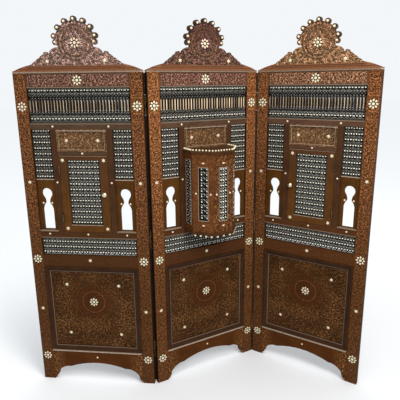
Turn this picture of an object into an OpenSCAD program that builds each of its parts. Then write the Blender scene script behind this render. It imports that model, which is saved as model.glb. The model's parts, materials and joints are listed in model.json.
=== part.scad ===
// Three-fold mashrabiya screen: carved and pierced frames hung on butt hinges, with turned-bead
// lattices pegged together from spindles and small links, two lattice doors and a faceted bay.
// Each frame is drawn in its own plane, with its front face at y = 0, its left end at x = 0 and
// its feet at z = 0, and is then carried to its place in the zigzag.

/* [Frames] */
// Width of one frame
frame_w = 604; // [560:1:660]
// Thickness of the stiles and rails
frame_t = 25; // [24:1:32]
// Width of a stile
stile_w = 60; // [54:1:64]
// Height of the stiles, up to the cornice
stile_h = 1588; // [1480:1:1700]
// Gap between the edges of two frames that lie flat
frame_gap = 2; // [1.5:0.1:4]

/* [Fold] */
// Angle of the left frame from flat, free end to the back
fold_left = 36; // [10:1:60]
// Angle of the right frame from flat, free end to the front
fold_right = 63; // [20:1:75]

/* [Heights] */
// Top of the arch between the feet
arch_top = 106; // [96:1:116]
// Lower edge of the lower panel's opening
panel_z0 = 176; // [166:1:186]
// Height of the lock rail, between the lower panel and the lower lattice
lock_rail_h = 61; // [50:1:70]
// Height of the lower lattice
low_lat_h = 92; // [88:1:100]
// Height of the rail between the lower lattice and the middle zone
sill_rail_h = 31; // [26:1:36]
// Height of the middle zone, with the door and the keyholes
mid_h = 501; // [490:1:515]
// Height of the side lattices
side_lat_h = 238; // [230:1:245]
// Height of the frieze panel
frieze_h = 104; // [96:1:112]
// Height of the small rail over the door
door_head_h = 16; // [13:1:20]
// Height of the rail below the upper lattice
upper_rail_h = 27; // [22:1:34]
// Height of the upper lattice
up_lat_h = 161; // [155:1:170]
// Height of the top rail
top_rail_h = 65; // [56:1:74]

/* [Middle zone] */
// Width of the side lattices and keyhole boards
side_w = 94; // [90:1:98]
// Width of a muntin beside the door
muntin_w = 29; // [26:1:34]

/* [Lattice] */
// Radius of a turned ball
ball_r = 8; // [7:0.1:8.4]
// Radius of the spindle at its ends
rod_r = 2.6; // [2:0.1:3]
// Radius of the barrel between two balls
barrel_r = 4.5; // [3.5:0.1:5]
// Radius of a link's ends
link_r = 2.2; // [1.6:0.1:2.4]
// Radius of a slanting link's belly
belly_r = 4; // [3:0.1:4.4]
// Radius of the belly of a link along a row
row_belly_r = 5.2; // [4:0.1:5.4]
// Radius of the tall spindles in the upper lattice
vase_r = 6; // [5:0.1:6.2]
// Running room between a link's end and its ball
peg_gap = 0.1; // [0.05:0.05:0.3]
// Distance from the lattice's outer balls to the frame
lat_margin = 10.5; // [9.5:0.1:12]
// Height of the upper lattice's lowest row above its rail
up_row_low = 18.5; // [14:0.5:20]
// Depth of its highest row below the top rail
up_row_high = 15; // [12:0.5:18]
// Spacing of its double rows
up_row_pitch = 25.5; // [24:0.5:27]
// Height of the lower lattice's lowest row above its rail
low_row_low = 14; // [12:0.5:16]
// Depth of its highest row below the rail above it
low_row_high = 24; // [18:0.5:25]

/* [Boards] */
// Thickness of the boards and panels
board_t = 12; // [9:1:14]
// Depth of the boards behind the frame's front
board_in = 8; // [5:1:10]
// Depth of the grooves that hold the boards
groove_d = 8; // [5:1:10]
// Length of a rail's tenon
tenon_l = 24; // [16:1:30]
// Width of the lower panel's moulding
mould_w = 30; // [20:1:36]
// Width of the frieze panel's moulding
frieze_mould_w = 12; // [9:1:16]
// How far the mouldings stand out of the front
mould_out = 4; // [2:0.5:7]
// How far the ledge below a keyhole stands out of its board
ledge_out = 12; // [8:1:16]
// Thickness of that ledge
ledge_t = 8; // [5:1:10]

/* [Keyholes] */
// Radius of the keyhole's round head
keyhole_r = 26; // [22:0.5:28]
// Height of the head's centre above the board's foot
keyhole_head = 192; // [185:1:198]
// Height of the neck above the board's foot
keyhole_neck = 145; // [138:1:150]
// Half width of the neck
keyhole_neck_w = 12; // [9:0.5:15]
// Half width of the foot
keyhole_foot_w = 27; // [24:0.5:30]
// Length of the curve from the neck down to the foot
keyhole_curve = 44; // [36:1:52]
// Height of the foot's sill above the board's foot
keyhole_sill = 12; // [9:1:16]

/* [Crest] */
// Thickness of the crest board
crest_t = 18; // [14:1:20]
// How far the cornice stands out of the front
cornice_out = 9; // [6:1:14]
// Height of the cornice moulding
cornice_h = 9; // [6:1:12]
// Height of the head's centre above the cornice
head_z = 122; // [116:1:128]
// Radius of the crest's round head
head_r = 91; // [87:1:94]
// Radius of a scalloped lobe behind a bead
lobe_r = 13; // [11:0.5:15]
// Radius of a bead on the crest
bead_r = 9; // [7:0.5:10]

/* [Doors] */
// Thickness of a door
door_t = 20; // [17:1:22]
// Width of the door's stiles
door_stile = 38; // [34:1:42]
// Height of the door's lower rail
door_rail_low = 35; // [30:1:40]
// Height of the door's upper rail
door_rail_up = 21; // [18:1:26]
// Gap round a door
door_gap = 1.5; // [1:0.1:2.5]
// Height of the knob above the door's foot
knob_z = 194; // [180:1:210]
// Radius of the knob
knob_r = 13; // [10:0.5:15]

/* [Bay] */
// How far the bay laps over the muntin at each side
bay_lap = 3; // [2:0.5:6]
// Depth of the bay's straight sides
bay_side_d = 76; // [72:1:84]
// Depth of the bay at its front
bay_d = 160; // [150:1:166]
// Width of the front facet
bay_front_w = 102; // [96:1:110]
// Height of the opening's sill above the bay's lower board
bay_sill = 1; // [0:0.5:4]
// Thickness of the bay's boards
bay_board_t = 11; // [9:1:12]
// Overhang of the bay's boards
bay_over = 8; // [6:1:10]
// Thickness of the bay's framed facets
facet_t = 12; // [10:1:13]
// Width of a facet's window
window_w = 48; // [46:1:52]
// Spacing of the small beads along the upper board
gallery_pitch = 15; // [12:1:18]
// Spacing of the small beads below the lower board
fringe_pitch = 28; // [22:1:34]
// Radius of a small bead
small_bead_r = 4.5; // [3.5:0.1:5.5]

/* [Hinges] */
// Radius of a fold hinge's knuckle
knuckle_r = 4; // [3.6:0.1:4.5]
// Radius of a fold hinge's pin
pin_r = 2; // [1.5:0.1:2.4]
// Running clearance round a fold hinge's pin
pin_clear = 0.05; // [0.02:0.01:0.1]
// Thickness of the hinge plates
plate_t = 1.5; // [1.2:0.1:2]
// Height of a fold hinge
hinge_h = 90; // [70:1:110]
// Radius of a door hinge's knuckle
door_knuckle_r = 3; // [2.6:0.1:3.6]
// Radius of a door hinge's pin
door_pin_r = 1.4; // [1:0.1:1.8]
// Height of a door hinge
door_hinge_h = 50; // [40:1:60]

/* [Inlay] */
// Radius of a large rosette
rosette_r = 18; // [14:0.5:20]
// Radius of a small star
star_r = 10; // [7:0.5:12]
// Radius of a dot
dot_r = 5; // [3:0.5:6]
// Height of the inlay above the wood
inlay_t = 1.5; // [1:0.1:2.5]

/* [Hidden] */
$fn = 32;
fit = 0.2;                 // room round a tenon, or a board in its groove
mitre_gap = 0.05;          // half the hairline between two mitred or butted pieces
knuckle_gap = 0.4;         // room between two knuckles
FRAMES = ["left", "centre", "right"];
FRAME_NODES = ["stiles", "rails", "muntins", "apron", "crest", "upper_lattice",
    "side_lattices", "lower_lattice", "keyhole_boards", "frieze_panel", "lower_panel",
    "panel_moulding", "pearl", "hinge_plates"];
DOOR_NODES = ["frame", "lattice", "knob", "pearl", "hinge_plates"];
BAY_NODES = ["boards", "facets", "lattices", "beads", "pearl"];

wood_dark = [0.26, 0.14, 0.08];
wood_stile = [0.42, 0.22, 0.09];
ebony = [0.09, 0.07, 0.06];
pearl_white = [0.93, 0.89, 0.78];
brass = [0.55, 0.42, 0.22];

// Places across a frame
inner_w = frame_w - 2 * stile_w;
frame_mid = frame_w / 2;
depth_mid = frame_t / 2;
muntin_x = stile_w + side_w;
door_x0 = muntin_x + muntin_w;
door_w = frame_w - 2 * door_x0;
stile_mid = stile_w / 2;
side_mid = stile_w + side_w / 2;

bay_w = door_w + 2 * bay_lap;

// Heights in a frame, from the cornice down; the lower panel takes what is left
up_lat_z1 = stile_h - top_rail_h;
up_lat_z0 = up_lat_z1 - up_lat_h;
mid_z1 = up_lat_z0 - upper_rail_h;
frieze_z0 = mid_z1 - frieze_h;
door_z1 = frieze_z0 - door_head_h;
side_lat_z0 = mid_z1 - side_lat_h;
mid_z0 = mid_z1 - mid_h;
low_lat_z1 = mid_z0 - sill_rail_h;
low_lat_z0 = low_lat_z1 - low_lat_h;
panel_z1 = low_lat_z0 - lock_rail_h;
panel_mid = (panel_z0 + panel_z1) / 2;

// Places of the folds
pin_out = knuckle_r + 0.5;
door_pin_out = door_knuckle_r + 0.5;
left_pin = [-frame_gap / 2, frame_t + pin_out];
right_pin = [frame_w + frame_gap / 2, -pin_out];
arm = frame_w + frame_gap / 2;
hinge_low = 150;           // lowest fold hinge above the floor
hinge_top = 100;           // highest fold hinge below the cornice
fold_hinge_zs = [hinge_low, (stile_h - hinge_h) / 2, stile_h - hinge_top - hinge_h];
door_hinge_in = 45;        // door hinges from the door opening's ends
door_hinge_zs = [mid_z0 + door_hinge_in, door_z1 - door_hinge_in - door_hinge_h];

// Corners of the box round the standing screen, to put its origin below its middle
box_x0 = left_pin.x - arm * cos(fold_left) - left_pin.y * sin(fold_left);
box_x1 = right_pin.x + arm * cos(fold_right) + (frame_t + pin_out) * sin(fold_right);
box_y0 = right_pin.y - arm * sin(fold_right) + pin_out * cos(fold_right);
box_y1 = left_pin.y + arm * sin(fold_left) - pin_out * cos(fold_left);
middle = [(box_x0 + box_x1) / 2, (box_y0 + box_y1) / 2];

// Points on an arc from a to b that bulges by sag to the left of the line from a to b
function arc(a, b, sag, n = 6) =
    let (d = b - a, c = norm(d), r = (c * c / 4 + sag * sag) / (2 * abs(sag)),
         u = d / c, v = [-u.y, u.x] * sign(sag), o = (a + b) / 2 - v * (r - abs(sag)),
         half = asin(c / 2 / r))
    [for (i = [0:n]) let (t = half * (2 * i / n - 1)) o + r * (v * cos(t) + u * sin(t))];

function mirrored(pts) = [for (i = [len(pts) - 1:-1:0]) [-pts[i].x, pts[i].y]];

// Lobes in a row from a to b, each bulging like arc()
function lobes(a, b, n, sag) =
    [for (i = [0:n - 1], p = arc(a + (b - a) * i / n, a + (b - a) * (i + 1) / n, sag, 4)) p];

function spread(from, to, n) = [for (i = [0:n - 1]) from + (to - from) * i / (n - 1)];

// ---- places of the frames ----

module in_frame(f) {
    translate([-middle.x, -middle.y, 0])
        if (f == "left")
            translate([left_pin.x, left_pin.y, 0]) rotate([0, 0, -fold_left])
                translate([-arm, -left_pin.y, 0]) children();
        else if (f == "right")
            translate([right_pin.x, right_pin.y, 0]) rotate([0, 0, -fold_right])
                translate([frame_gap / 2, -right_pin.y, 0]) children();
        else children();
}

// The right-hand copy of something at the frame's left end
module at_right() { translate([frame_w, 0, 0]) mirror([1, 0, 0]) children(); }

module both_ends() {
    children();
    at_right() children();
}

// ---- turned work ----

// A tall spindle, slim above and full below
function vase_outline(h) = [[0, 0], [rod_r, 0], [vase_r, 0.2 * h], [vase_r * 0.9, 0.4 * h],
    [rod_r, 0.85 * h], [vase_r * 0.6, 0.93 * h], [rod_r, h], [0, h]];

// The barrel between two balls
function barrel_outline(h) =
    [[0, 0], [rod_r, 0], [min(barrel_r, rod_r + h / 4), h / 2], [rod_r, h], [0, h]];

// A spindle from z0 to z1 with its balls, a barrel in each short stretch and a vase in the long one
module turned_spindle(balls, z0, z1, vases = []) {
    from = concat([z0], [for (z = balls) z + 0.9 * ball_r]);
    to = concat([for (z = balls) z - 0.9 * ball_r], [z1]);
    rotate_extrude() intersection() {
        union() {
            translate([0, z0]) square([rod_r, z1 - z0]);
            for (z = balls) translate([0, z]) circle(r = ball_r);
            for (i = [0:len(from) - 1]) if (to[i] - from[i] < 2 * ball_r)
                translate([0, from[i]]) polygon(barrel_outline(to[i] - from[i]));
            for (v = vases) translate([0, v[0]]) polygon(vase_outline(v[1] - v[0]));
        }
        translate([0, z0]) square([2 * ball_r, z1 - z0]);
    }
}

// A link along +X, thin at the ends and full in the middle
module link(length, belly) {
    rotate([0, 90, 0]) rotate_extrude($fn = 24)
        polygon([[0, -length / 2], [link_r, -length / 2], [belly, 0],
                 [link_r, length / 2], [0, length / 2]]);
}

module link_between(a, b, belly = belly_r) {
    d = b - a;
    translate([(a.x + b.x) / 2, 0, (a.y + b.y) / 2]) rotate([0, -atan2(d.y, d.x), 0])
        link(norm(d) - 2 * (ball_r + peg_gap), belly);
}

module row_links(xs, z) {
    for (i = [1:len(xs) - 1]) link_between([xs[i - 1], z], [xs[i], z], row_belly_r);
}

// In each square between two rows one slanting link, which turns the other way in the next
// square, so that four squares close into a diamond
module slants(xs, z0, z1, turn) {
    for (i = [1:len(xs) - 1])
        if ((i + turn) % 2 == 0) link_between([xs[i - 1], z0], [xs[i], z1]);
        else link_between([xs[i - 1], z1], [xs[i], z0]);
}

// A whole lattice: columns of balls turned on their spindles, and the links between them
module lattice(xs, zs, z0, z1) {
    for (x = xs) translate([x, 0, 0]) turned_spindle(zs, z0, z1);
    for (z = zs) row_links(xs, z);
    for (j = [1:len(zs) - 1]) slants(xs, zs[j - 1], zs[j], j);
}

// ---- frame members ----

// [lower edge, height] of the rails that run from stile to stile
RAILS = [[panel_z1, low_lat_z0 - panel_z1], [low_lat_z1, mid_z0 - low_lat_z1],
    [mid_z1, up_lat_z0 - mid_z1], [up_lat_z1, stile_h - up_lat_z1]];
apron_tenon = [arch_top, panel_z0 - arch_top];

// A tenon that runs into the left stile, or its mortise with some room round it
module tenon(span, room = 0) {
    shoulder = min(6, span[1] / 4);
    translate([stile_w - tenon_l - room, frame_t / 3 - room, span[0] + shoulder - room])
        cube([tenon_l + room + 1, frame_t / 3 + 2 * room, span[1] - 2 * shoulder + 2 * room]);
}

// The room that a board of the given outline takes in the frame round it
module board_room(x, z, w, h, y) {
    translate([x - groove_d - fit, y - fit, z - groove_d - fit])
        cube([w + 2 * (groove_d + fit), board_t + 2 * fit, h + 2 * (groove_d + fit)]);
}

module lower_panel_room() {
    board_room(stile_w, panel_z0, inner_w, panel_z1 - panel_z0, board_in);
}

module keyhole_board_room() {
    translate([stile_w - groove_d - fit, board_in - fit, mid_z0])
        cube([side_w + 2 * (groove_d + fit), board_t + 2 * fit, side_lat_z0 - mid_z0 + fit]);
}

module stiles(f) {
    color(wood_stile) difference() {
        both_ends() cube([stile_w, frame_t, stile_h]);
        for (r = concat(RAILS, [apron_tenon])) both_ends() tenon(r, fit);
        lower_panel_room();
        both_ends() keyhole_board_room();
        if (f != "right") fold_hinges(f == "left" ? "right" : "left", "back") hinge_recess();
        if (f != "left") fold_hinges(f == "right" ? "left" : "right", "front") hinge_recess();
    }
}

module rails() {
    color(wood_dark) difference() {
        union() {
            for (r = RAILS) {
                translate([stile_w, 0, r[0]]) cube([inner_w, frame_t, r[1]]);
                both_ends() tenon(r);
            }
            translate([door_x0, 0, door_z1]) cube([door_w, frame_t, frieze_z0 - door_z1]);
        }
        lower_panel_room();
        frieze_room();
    }
}

module muntins(f) {
    color(wood_dark) difference() {
        both_ends() translate([muntin_x, 0, mid_z0]) cube([muntin_w, frame_t, mid_z1 - mid_z0]);
        both_ends() keyhole_board_room();
        frieze_room();
        if (f == "left") door_hinges() hinge_recess(door_pin_out, door_gap, door_hinge_h, door_t);
        if (f == "right") at_right()
            door_hinges() hinge_recess(door_pin_out, door_gap, door_hinge_h, door_t);
    }
}

// The shaped bottom rail, cut away below in a wide arch with a lobe and a rounded foot a side
module apron() {
    half = inner_w / 2;
    arch_rise = 27;
    cusp_in = [half - 94, arch_top - arch_rise];
    cusp_out = [half - 21, 42];
    foot = [half, 4];
    right_side = concat(arc(foot, cusp_out, 6, 4), arc(cusp_out, cusp_in, -12));
    arch = arc(cusp_in, [-cusp_in.x, cusp_in.y], -arch_rise, 12);
    outline = concat(right_side, arch, mirrored(right_side));
    color(wood_dark) difference() {
        union() {
            translate([stile_w, 0, foot.y]) cube([inner_w, frame_t, panel_z0 - foot.y]);
            both_ends() tenon(apron_tenon);
        }
        translate([frame_mid, frame_t + 1, 0]) rotate([90, 0, 0]) linear_extrude(frame_t + 2)
            polygon(concat([[half, -1]], outline, [[-half, -1]]));
        lower_panel_room();
    }
}

// ---- crest ----

lobe_ring = head_r + 6;
lobe_angles = [16, 40, 64.5, 90, 115.5, 140, 164];
volute_x = head_r - 2;
bead_places = concat([for (a = lobe_angles) [lobe_ring * cos(a), head_z + lobe_ring * sin(a)]],
    [[-volute_x, head_z + 1], [volute_x, head_z + 1]]);
neck = [head_r - 12, head_z - 20];
notch = [125.5, 80];
notch_r = 6;
knop = [139, 72];
knop_r = 11;
ear = [frame_mid - 74, 25];
step = [frame_mid - 94, 30];
strip = 5;                 // height and depth of the strip across the crest's foot
cornice_end = (cornice_out - pin_out) / tan(16);   // so that folded cornices clear each other
crest_front = depth_mid - crest_t / 2;

// One side: a low ear, a step, a lobed slope up to the knop, and a round shoulder to the neck
function crest_side() = concat(arc([frame_mid - 2, 0], ear, -2), [step],
    lobes(step, [knop.x + knop_r, knop.y], 3, -2), arc([notch.x, notch.y - notch_r], neck, -8),
    [[neck.x, head_z]]);

// The head is round above its volutes, with a lobe behind each bead
module crest_outline() {
    side = crest_side();
    difference() {
        union() {
            polygon(concat(side, mirrored(side)));
            intersection() {
                translate([0, head_z]) circle(r = head_r);
                translate([-head_r, head_z - 4]) square([2 * head_r, 2 * head_r]);
            }
            for (p = bead_places) translate(p) circle(r = lobe_r);
            for (s = [-1, 1]) translate([s * knop.x, knop.y]) circle(r = knop_r);
        }
        for (s = [-1, 1]) translate([s * notch.x, notch.y]) circle(r = notch_r);
    }
}

// The cornice's lip runs out to nothing at its ends
module cornice() {
    profile = [[-cornice_out, cornice_h], [-cornice_out, cornice_h * 0.7], [-2, 0], [frame_t, 0],
        [frame_t, cornice_h]];
    intersection() {
        rotate([90, 0, 90]) linear_extrude(frame_w) polygon(profile);
        linear_extrude(cornice_h) polygon([[0, 0], [cornice_end, -cornice_out],
            [frame_w - cornice_end, -cornice_out], [frame_w, 0], [frame_w, frame_t], [0, frame_t]]);
    }
}

module crest() {
    color(wood_dark) {
        translate([0, 0, stile_h]) cornice();
        translate([frame_mid, depth_mid + crest_t / 2, stile_h + cornice_h]) rotate([90, 0, 0])
            linear_extrude(crest_t) crest_outline();
        translate([frame_mid - ear.x, crest_front, stile_h + cornice_h + ear.y - strip - 1])
            mirror([0, 1, 0]) cube([2 * ear.x, strip, strip]);
    }
}

// ---- lattices ----

up_cols = 17;
side_grid = [4, 9];        // columns and rows
low_grid = [18, 3];
door_grid = [6, 12];

module upper_lattice() {
    xs = spread(stile_w + lat_margin, frame_w - stile_w - lat_margin, up_cols);
    low = [up_lat_z0 + up_row_low, up_lat_z0 + up_row_low + up_row_pitch];
    high = [up_lat_z1 - up_row_high - up_row_pitch, up_lat_z1 - up_row_high];
    vase = [low[1] + ball_r, high[0] - ball_r];
    between = [for (i = [1:up_cols - 1]) (xs[i - 1] + xs[i]) / 2];
    stub = row_belly_r + peg_gap;
    color(ebony) translate([0, depth_mid, 0]) {
        for (x = xs) translate([x, 0, 0])
            turned_spindle(concat(low, high), up_lat_z0, up_lat_z1, [vase]);
        for (x = between) translate([x, 0, 0])
            turned_spindle([], low[1] + stub, high[0] - stub, [vase]);
        for (z = concat(low, high)) row_links(xs, z);
        for (p = [low, high]) slants(xs, p[0], p[1], 0);
    }
}

module side_lattices() {
    xs = spread(stile_w + lat_margin, stile_w + side_w - lat_margin, side_grid[0]);
    zs = spread(side_lat_z0 + lat_margin, mid_z1 - lat_margin, side_grid[1]);
    color(ebony) both_ends() translate([0, depth_mid, 0]) lattice(xs, zs, side_lat_z0, mid_z1);
}

module lower_lattice() {
    xs = spread(stile_w + lat_margin, frame_w - stile_w - lat_margin, low_grid[0]);
    zs = spread(low_lat_z0 + low_row_low, low_lat_z1 - low_row_high, low_grid[1]);
    color(ebony) translate([0, depth_mid, 0]) lattice(xs, zs, low_lat_z0, low_lat_z1);
}

// ---- boards ----

// Half of the keyhole, from its top round the head, past the neck's cusp, to the foot
function keyhole_half() = let (turn = 38, step = 16,
        neck_end = [keyhole_neck_w, keyhole_neck],
        head_end = [keyhole_r * cos(turn), keyhole_head - keyhole_r * sin(turn)])
    concat([for (a = [90:-step:1 - turn]) [keyhole_r * cos(a), keyhole_head + keyhole_r * sin(a)]],
        arc(head_end, neck_end, -3, 3),
        arc(neck_end, [keyhole_foot_w, keyhole_neck - keyhole_curve], 5),
        [[keyhole_foot_w, keyhole_sill]]);

module keyhole_boards() {
    h = side_lat_z0 - mid_z0;
    half = keyhole_half();
    color(wood_dark) both_ends() {
        translate([side_mid, board_in + board_t, mid_z0]) rotate([90, 0, 0])
            linear_extrude(board_t) difference() {
                translate([-side_w / 2 - groove_d, 0]) square([side_w + 2 * groove_d, h]);
                polygon(concat(half, mirrored(half)));
            }
        translate([stile_w, board_in, mid_z0]) mirror([0, 1, 0])
            cube([side_w, ledge_out, ledge_t]);
    }
}

// One side of a mitred moulding along +X, sloping from its outer edge down to the board
module mould_side(length, w, front, back) {
    intersection() {
        rotate([90, 0, 90]) linear_extrude(length)
            polygon([[front, 0], [front, w * 0.3], [front + 2, w * 0.4], [back - 3, w], [back, w],
                     [back, 0]]);
        translate([0, back + 1, 0]) rotate([90, 0, 0]) linear_extrude(back - front + 2)
            polygon([[mitre_gap, 0], [length - mitre_gap, 0], [length - w - mitre_gap, w],
                     [w + mitre_gap, w]]);
    }
}

module mould_frame(x, z, w, h, mw, front, back) {
    translate([x, 0, z]) mould_side(w, mw, front, back);
    translate([x + w, 0, z + h]) rotate([0, 180, 0]) mould_side(w, mw, front, back);
    translate([x, 0, z + h]) rotate([0, 90, 0]) mould_side(h, mw, front, back);
    translate([x + w, 0, z]) rotate([0, -90, 0]) mould_side(h, mw, front, back);
}

module frieze_room() { board_room(door_x0, frieze_z0, door_w, mid_z1 - frieze_z0 - groove_d, board_in); }

module frieze_panel() {
    h = mid_z1 - frieze_z0;
    color(wood_dark) {
        translate([door_x0 - groove_d, board_in, frieze_z0 - groove_d])
            cube([door_w + 2 * groove_d, board_t, h + groove_d]);
        mould_frame(door_x0, frieze_z0, door_w, h, frieze_mould_w, -mould_out / 2, board_in);
    }
}

module lower_panel() {
    color(wood_dark) translate([stile_w - groove_d, board_in, panel_z0 - groove_d])
        cube([inner_w + 2 * groove_d, board_t, panel_z1 - panel_z0 + 2 * groove_d]);
}

module panel_moulding() {
    color(wood_dark) mould_frame(stile_w, panel_z0, inner_w, panel_z1 - panel_z0, mould_w,
        -mould_out, board_in);
}

// ---- inlay ----

module inlay_star(x, z, r, face = 0) {
    translate([x, face, z]) rotate([90, 0, 0]) linear_extrude(inlay_t)
        polygon([for (i = [0:15]) (i % 2 == 0 ? r : 0.66 * r) * [cos(22.5 * i), sin(22.5 * i)]]);
}

module inlay_dot(x, z, face = 0) {
    translate([x, face, z]) rotate([90, 0, 0]) cylinder(r = dot_r, h = inlay_t);
}

// A bead turned from pearl shell, on a flat seat at z = 0
module seated_bead(r) {
    rotate_extrude() intersection() {
        translate([0, 0.8 * r]) circle(r = r);
        square([2 * r, 2 * r]);
    }
}

// Heights of the inlay on the stiles and the lower panel
stile_rosettes = [panel_z0 - 36, low_lat_z0 - 23, up_lat_z0 + 77];
stile_stars = [panel_mid + 2, side_lat_z0 - 15];
panel_stars = [panel_z0 + 101, panel_z1 - 100];
panel_rosette = panel_mid + 43;
keyhole_dot = keyhole_neck_w + 10;

module pearl(f) {
    crest_base = stile_h + cornice_h;
    color(pearl_white) {
        both_ends() {
            for (z = stile_rosettes) inlay_star(stile_mid, z, rosette_r);
            for (z = stile_stars) inlay_star(stile_mid, z, star_r);
            inlay_star(frame_mid - 133, crest_base + 42, star_r, crest_front);
            inlay_star(door_x0 + 43, frieze_z0 + frieze_h / 2, star_r, board_in);
            for (z = panel_stars) inlay_star(stile_w + 107, z, star_r, board_in);
            inlay_dot(muntin_x + muntin_w / 2, mid_z1 + upper_rail_h / 2);
            inlay_dot(muntin_x + muntin_w / 2, side_lat_z0 - 14);
            inlay_dot(side_mid, mid_z0 - 11);
            for (s = [-1, 1]) inlay_dot(side_mid + s * keyhole_dot, mid_z0 + keyhole_neck, board_in);
        }
        inlay_star(frame_mid, crest_base + head_z - 3, rosette_r, crest_front);
        inlay_star(frame_mid, stile_h - top_rail_h / 2, rosette_r);
        inlay_star(frame_mid, panel_rosette, rosette_r, board_in);
        inlay_star(frame_mid, low_lat_z0 - 25, star_r);
        inlay_dot(frame_mid, panel_z0 - 37);
        if (f != "centre") for (z = [mid_z0 - 11, (door_z1 + frieze_z0) / 2]) inlay_dot(frame_mid, z);
        for (p = bead_places) translate([frame_mid + p.x, crest_front, crest_base + p.y])
            rotate([90, 0, 0]) seated_bead(bead_r);
    }
}

// ---- hinges ----

// Half of a butt hinge round a pin on the Z axis, for wood on the +X side that starts at
// y = out; its plate is let into the wood's edge
module hinge_half(owns, out = pin_out, gap = frame_gap, h = hinge_h, reach = frame_t - 6,
        kr = knuckle_r, hole = pin_r + pin_clear) {
    third = h / 3;
    difference() {
        union() {
            translate([gap / 2, out, 0]) cube([plate_t, reach, h]);
            for (k = owns) translate([0, 0, k * third + knuckle_gap / 2]) {
                cylinder(r = kr, h = third - knuckle_gap);
                translate([gap / 2, 0, 0]) cube([plate_t, out + 1, third - knuckle_gap]);
            }
        }
        translate([0, 0, -1]) cylinder(r = hole, h = h + 2);
    }
}

module hinge_recess(out = pin_out, gap = frame_gap, h = hinge_h, wood = frame_t) {
    translate([gap / 2 - 1, out - 1, -fit / 2]) cube([plate_t + 1, wood - 5 + fit, h + fit]);
}

// Places of the fold hinges on a frame's left or right edge, with the pins behind or before it
module fold_hinges(edge, face) {
    place = edge == "left" ? [-frame_gap / 2, 0] : [frame_w + frame_gap / 2, 0];
    y = face == "back" ? frame_t + pin_out : -pin_out;
    for (z = fold_hinge_zs) translate([place.x, y, z])
        mirror([edge == "left" ? 0 : 1, 0, 0]) mirror([0, face == "back" ? 1 : 0, 0]) children();
}

// Places of the door hinges, seen from the door's left edge; the fixed half is turned over
module door_hinges(fixed = true) {
    for (z = door_hinge_zs) translate([door_x0 + door_gap / 2, -door_pin_out, z])
        mirror([fixed ? 1 : 0, 0, 0]) children();
}

module door_hinge_half(owns, hole) {
    hinge_half(owns, door_pin_out, door_gap, door_hinge_h, door_t - 6, door_knuckle_r, hole);
}

// The plates that a frame carries: two knuckles on the centre frame, one on the others, and
// on a frame with a door the fixed halves with their riveted pins
module hinge_plates(f) {
    owns = f == "centre" ? [0, 2] : [1];
    color(brass) {
        if (f != "right") fold_hinges(f == "left" ? "right" : "left", "back") hinge_half(owns);
        if (f != "left") fold_hinges(f == "right" ? "left" : "right", "front") hinge_half(owns);
        if (f == "left") fixed_door_hinges();
        if (f == "right") at_right() fixed_door_hinges();
    }
}

module fixed_door_hinges() {
    door_hinges() {
        door_hinge_half([0, 2], door_pin_r);
        cylinder(r = door_pin_r, h = door_hinge_h);
    }
}

module fold_hinge_pins() {
    color(brass) {
        for (z = fold_hinge_zs) translate([left_pin.x, left_pin.y, z]) cylinder(r = pin_r, h = hinge_h);
        for (z = fold_hinge_zs) translate([right_pin.x, right_pin.y, z]) cylinder(r = pin_r, h = hinge_h);
    }
}

// ---- doors, drawn hinged at their left edge ----

knob_stem_r = 4;
knob_stem_in = 6;          // how far the stem runs into the stile
knob_collar = [8, 3];      // radius and height
door_z0 = mid_z0 + door_gap;
door_top = door_z1 - door_gap;
window_x0 = door_x0 + door_gap + door_stile;
window_x1 = frame_w - window_x0;
window_z0 = door_z0 + door_rail_low;
window_z1 = door_top - door_rail_up;

module in_door(f) {
    if (f == "left") children();
    else at_right() children();
}

// A tenon of a door's rail in the left stile, or its mortise with some room round it
module door_tenon(span, room = 0) {
    length = door_stile / 2;
    shoulder = span[1] / 5;
    translate([window_x0 - length - room, door_t / 3 - room, span[0] + shoulder - room])
        cube([length + room + 1, door_t / 3 + 2 * room, span[1] - 2 * shoulder + 2 * room]);
}

// Two stiles, and two rails tenoned between them
module door_frame() {
    rails = [[door_z0, door_rail_low], [window_z1, door_rail_up]];
    color(wood_dark) {
        difference() {
            both_ends() translate([door_x0 + door_gap, 0, door_z0])
                cube([door_stile, door_t, door_top - door_z0]);
            for (r = rails) both_ends() door_tenon(r, fit);
            door_hinges(false) hinge_recess(door_pin_out, door_gap, door_hinge_h, door_t);
            knob_place() cylinder(r = knob_stem_r + fit, h = knob_stem_in + 1);
        }
        for (r = rails) {
            translate([window_x0 + mitre_gap, 0, r[0]])
                cube([window_x1 - window_x0 - 2 * mitre_gap, door_t, r[1]]);
            both_ends() door_tenon(r);
        }
    }
}

module door_lattice() {
    color(ebony) translate([0, door_t / 2, 0])
        lattice(spread(window_x0 + lat_margin, window_x1 - lat_margin, door_grid[0]),
            spread(window_z0 + lat_margin, window_z1 - lat_margin, door_grid[1]), window_z0, window_z1);
}

module knob_place() {
    translate([frame_w - door_x0 - door_stile / 2, knob_stem_in, mid_z0 + knob_z])
        rotate([90, 0, 0]) children();
}

module door_knob() {
    ball_z = knob_stem_in + knob_collar[1] + knob_r;
    color(wood_dark) knob_place() rotate_extrude() {
        square([knob_stem_r, 2 * knob_stem_in]);
        translate([0, knob_stem_in]) square(knob_collar);
        intersection() {
            translate([0, ball_z]) circle(r = knob_r);
            translate([0, knob_stem_in + 2]) square([knob_r, 2 * knob_r + 2]);
        }
    }
}

module door_pearl() {
    color(pearl_white) both_ends() for (z = [door_z0 + door_rail_low / 2, door_top - door_rail_up - 2])
        inlay_star(door_x0 + door_stile / 2, z, star_r);
}

module door_hinge_plates() {
    color(brass) door_hinges(false) door_hinge_half([1], door_pin_r + pin_clear);
}

// ---- bay ----

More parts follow.
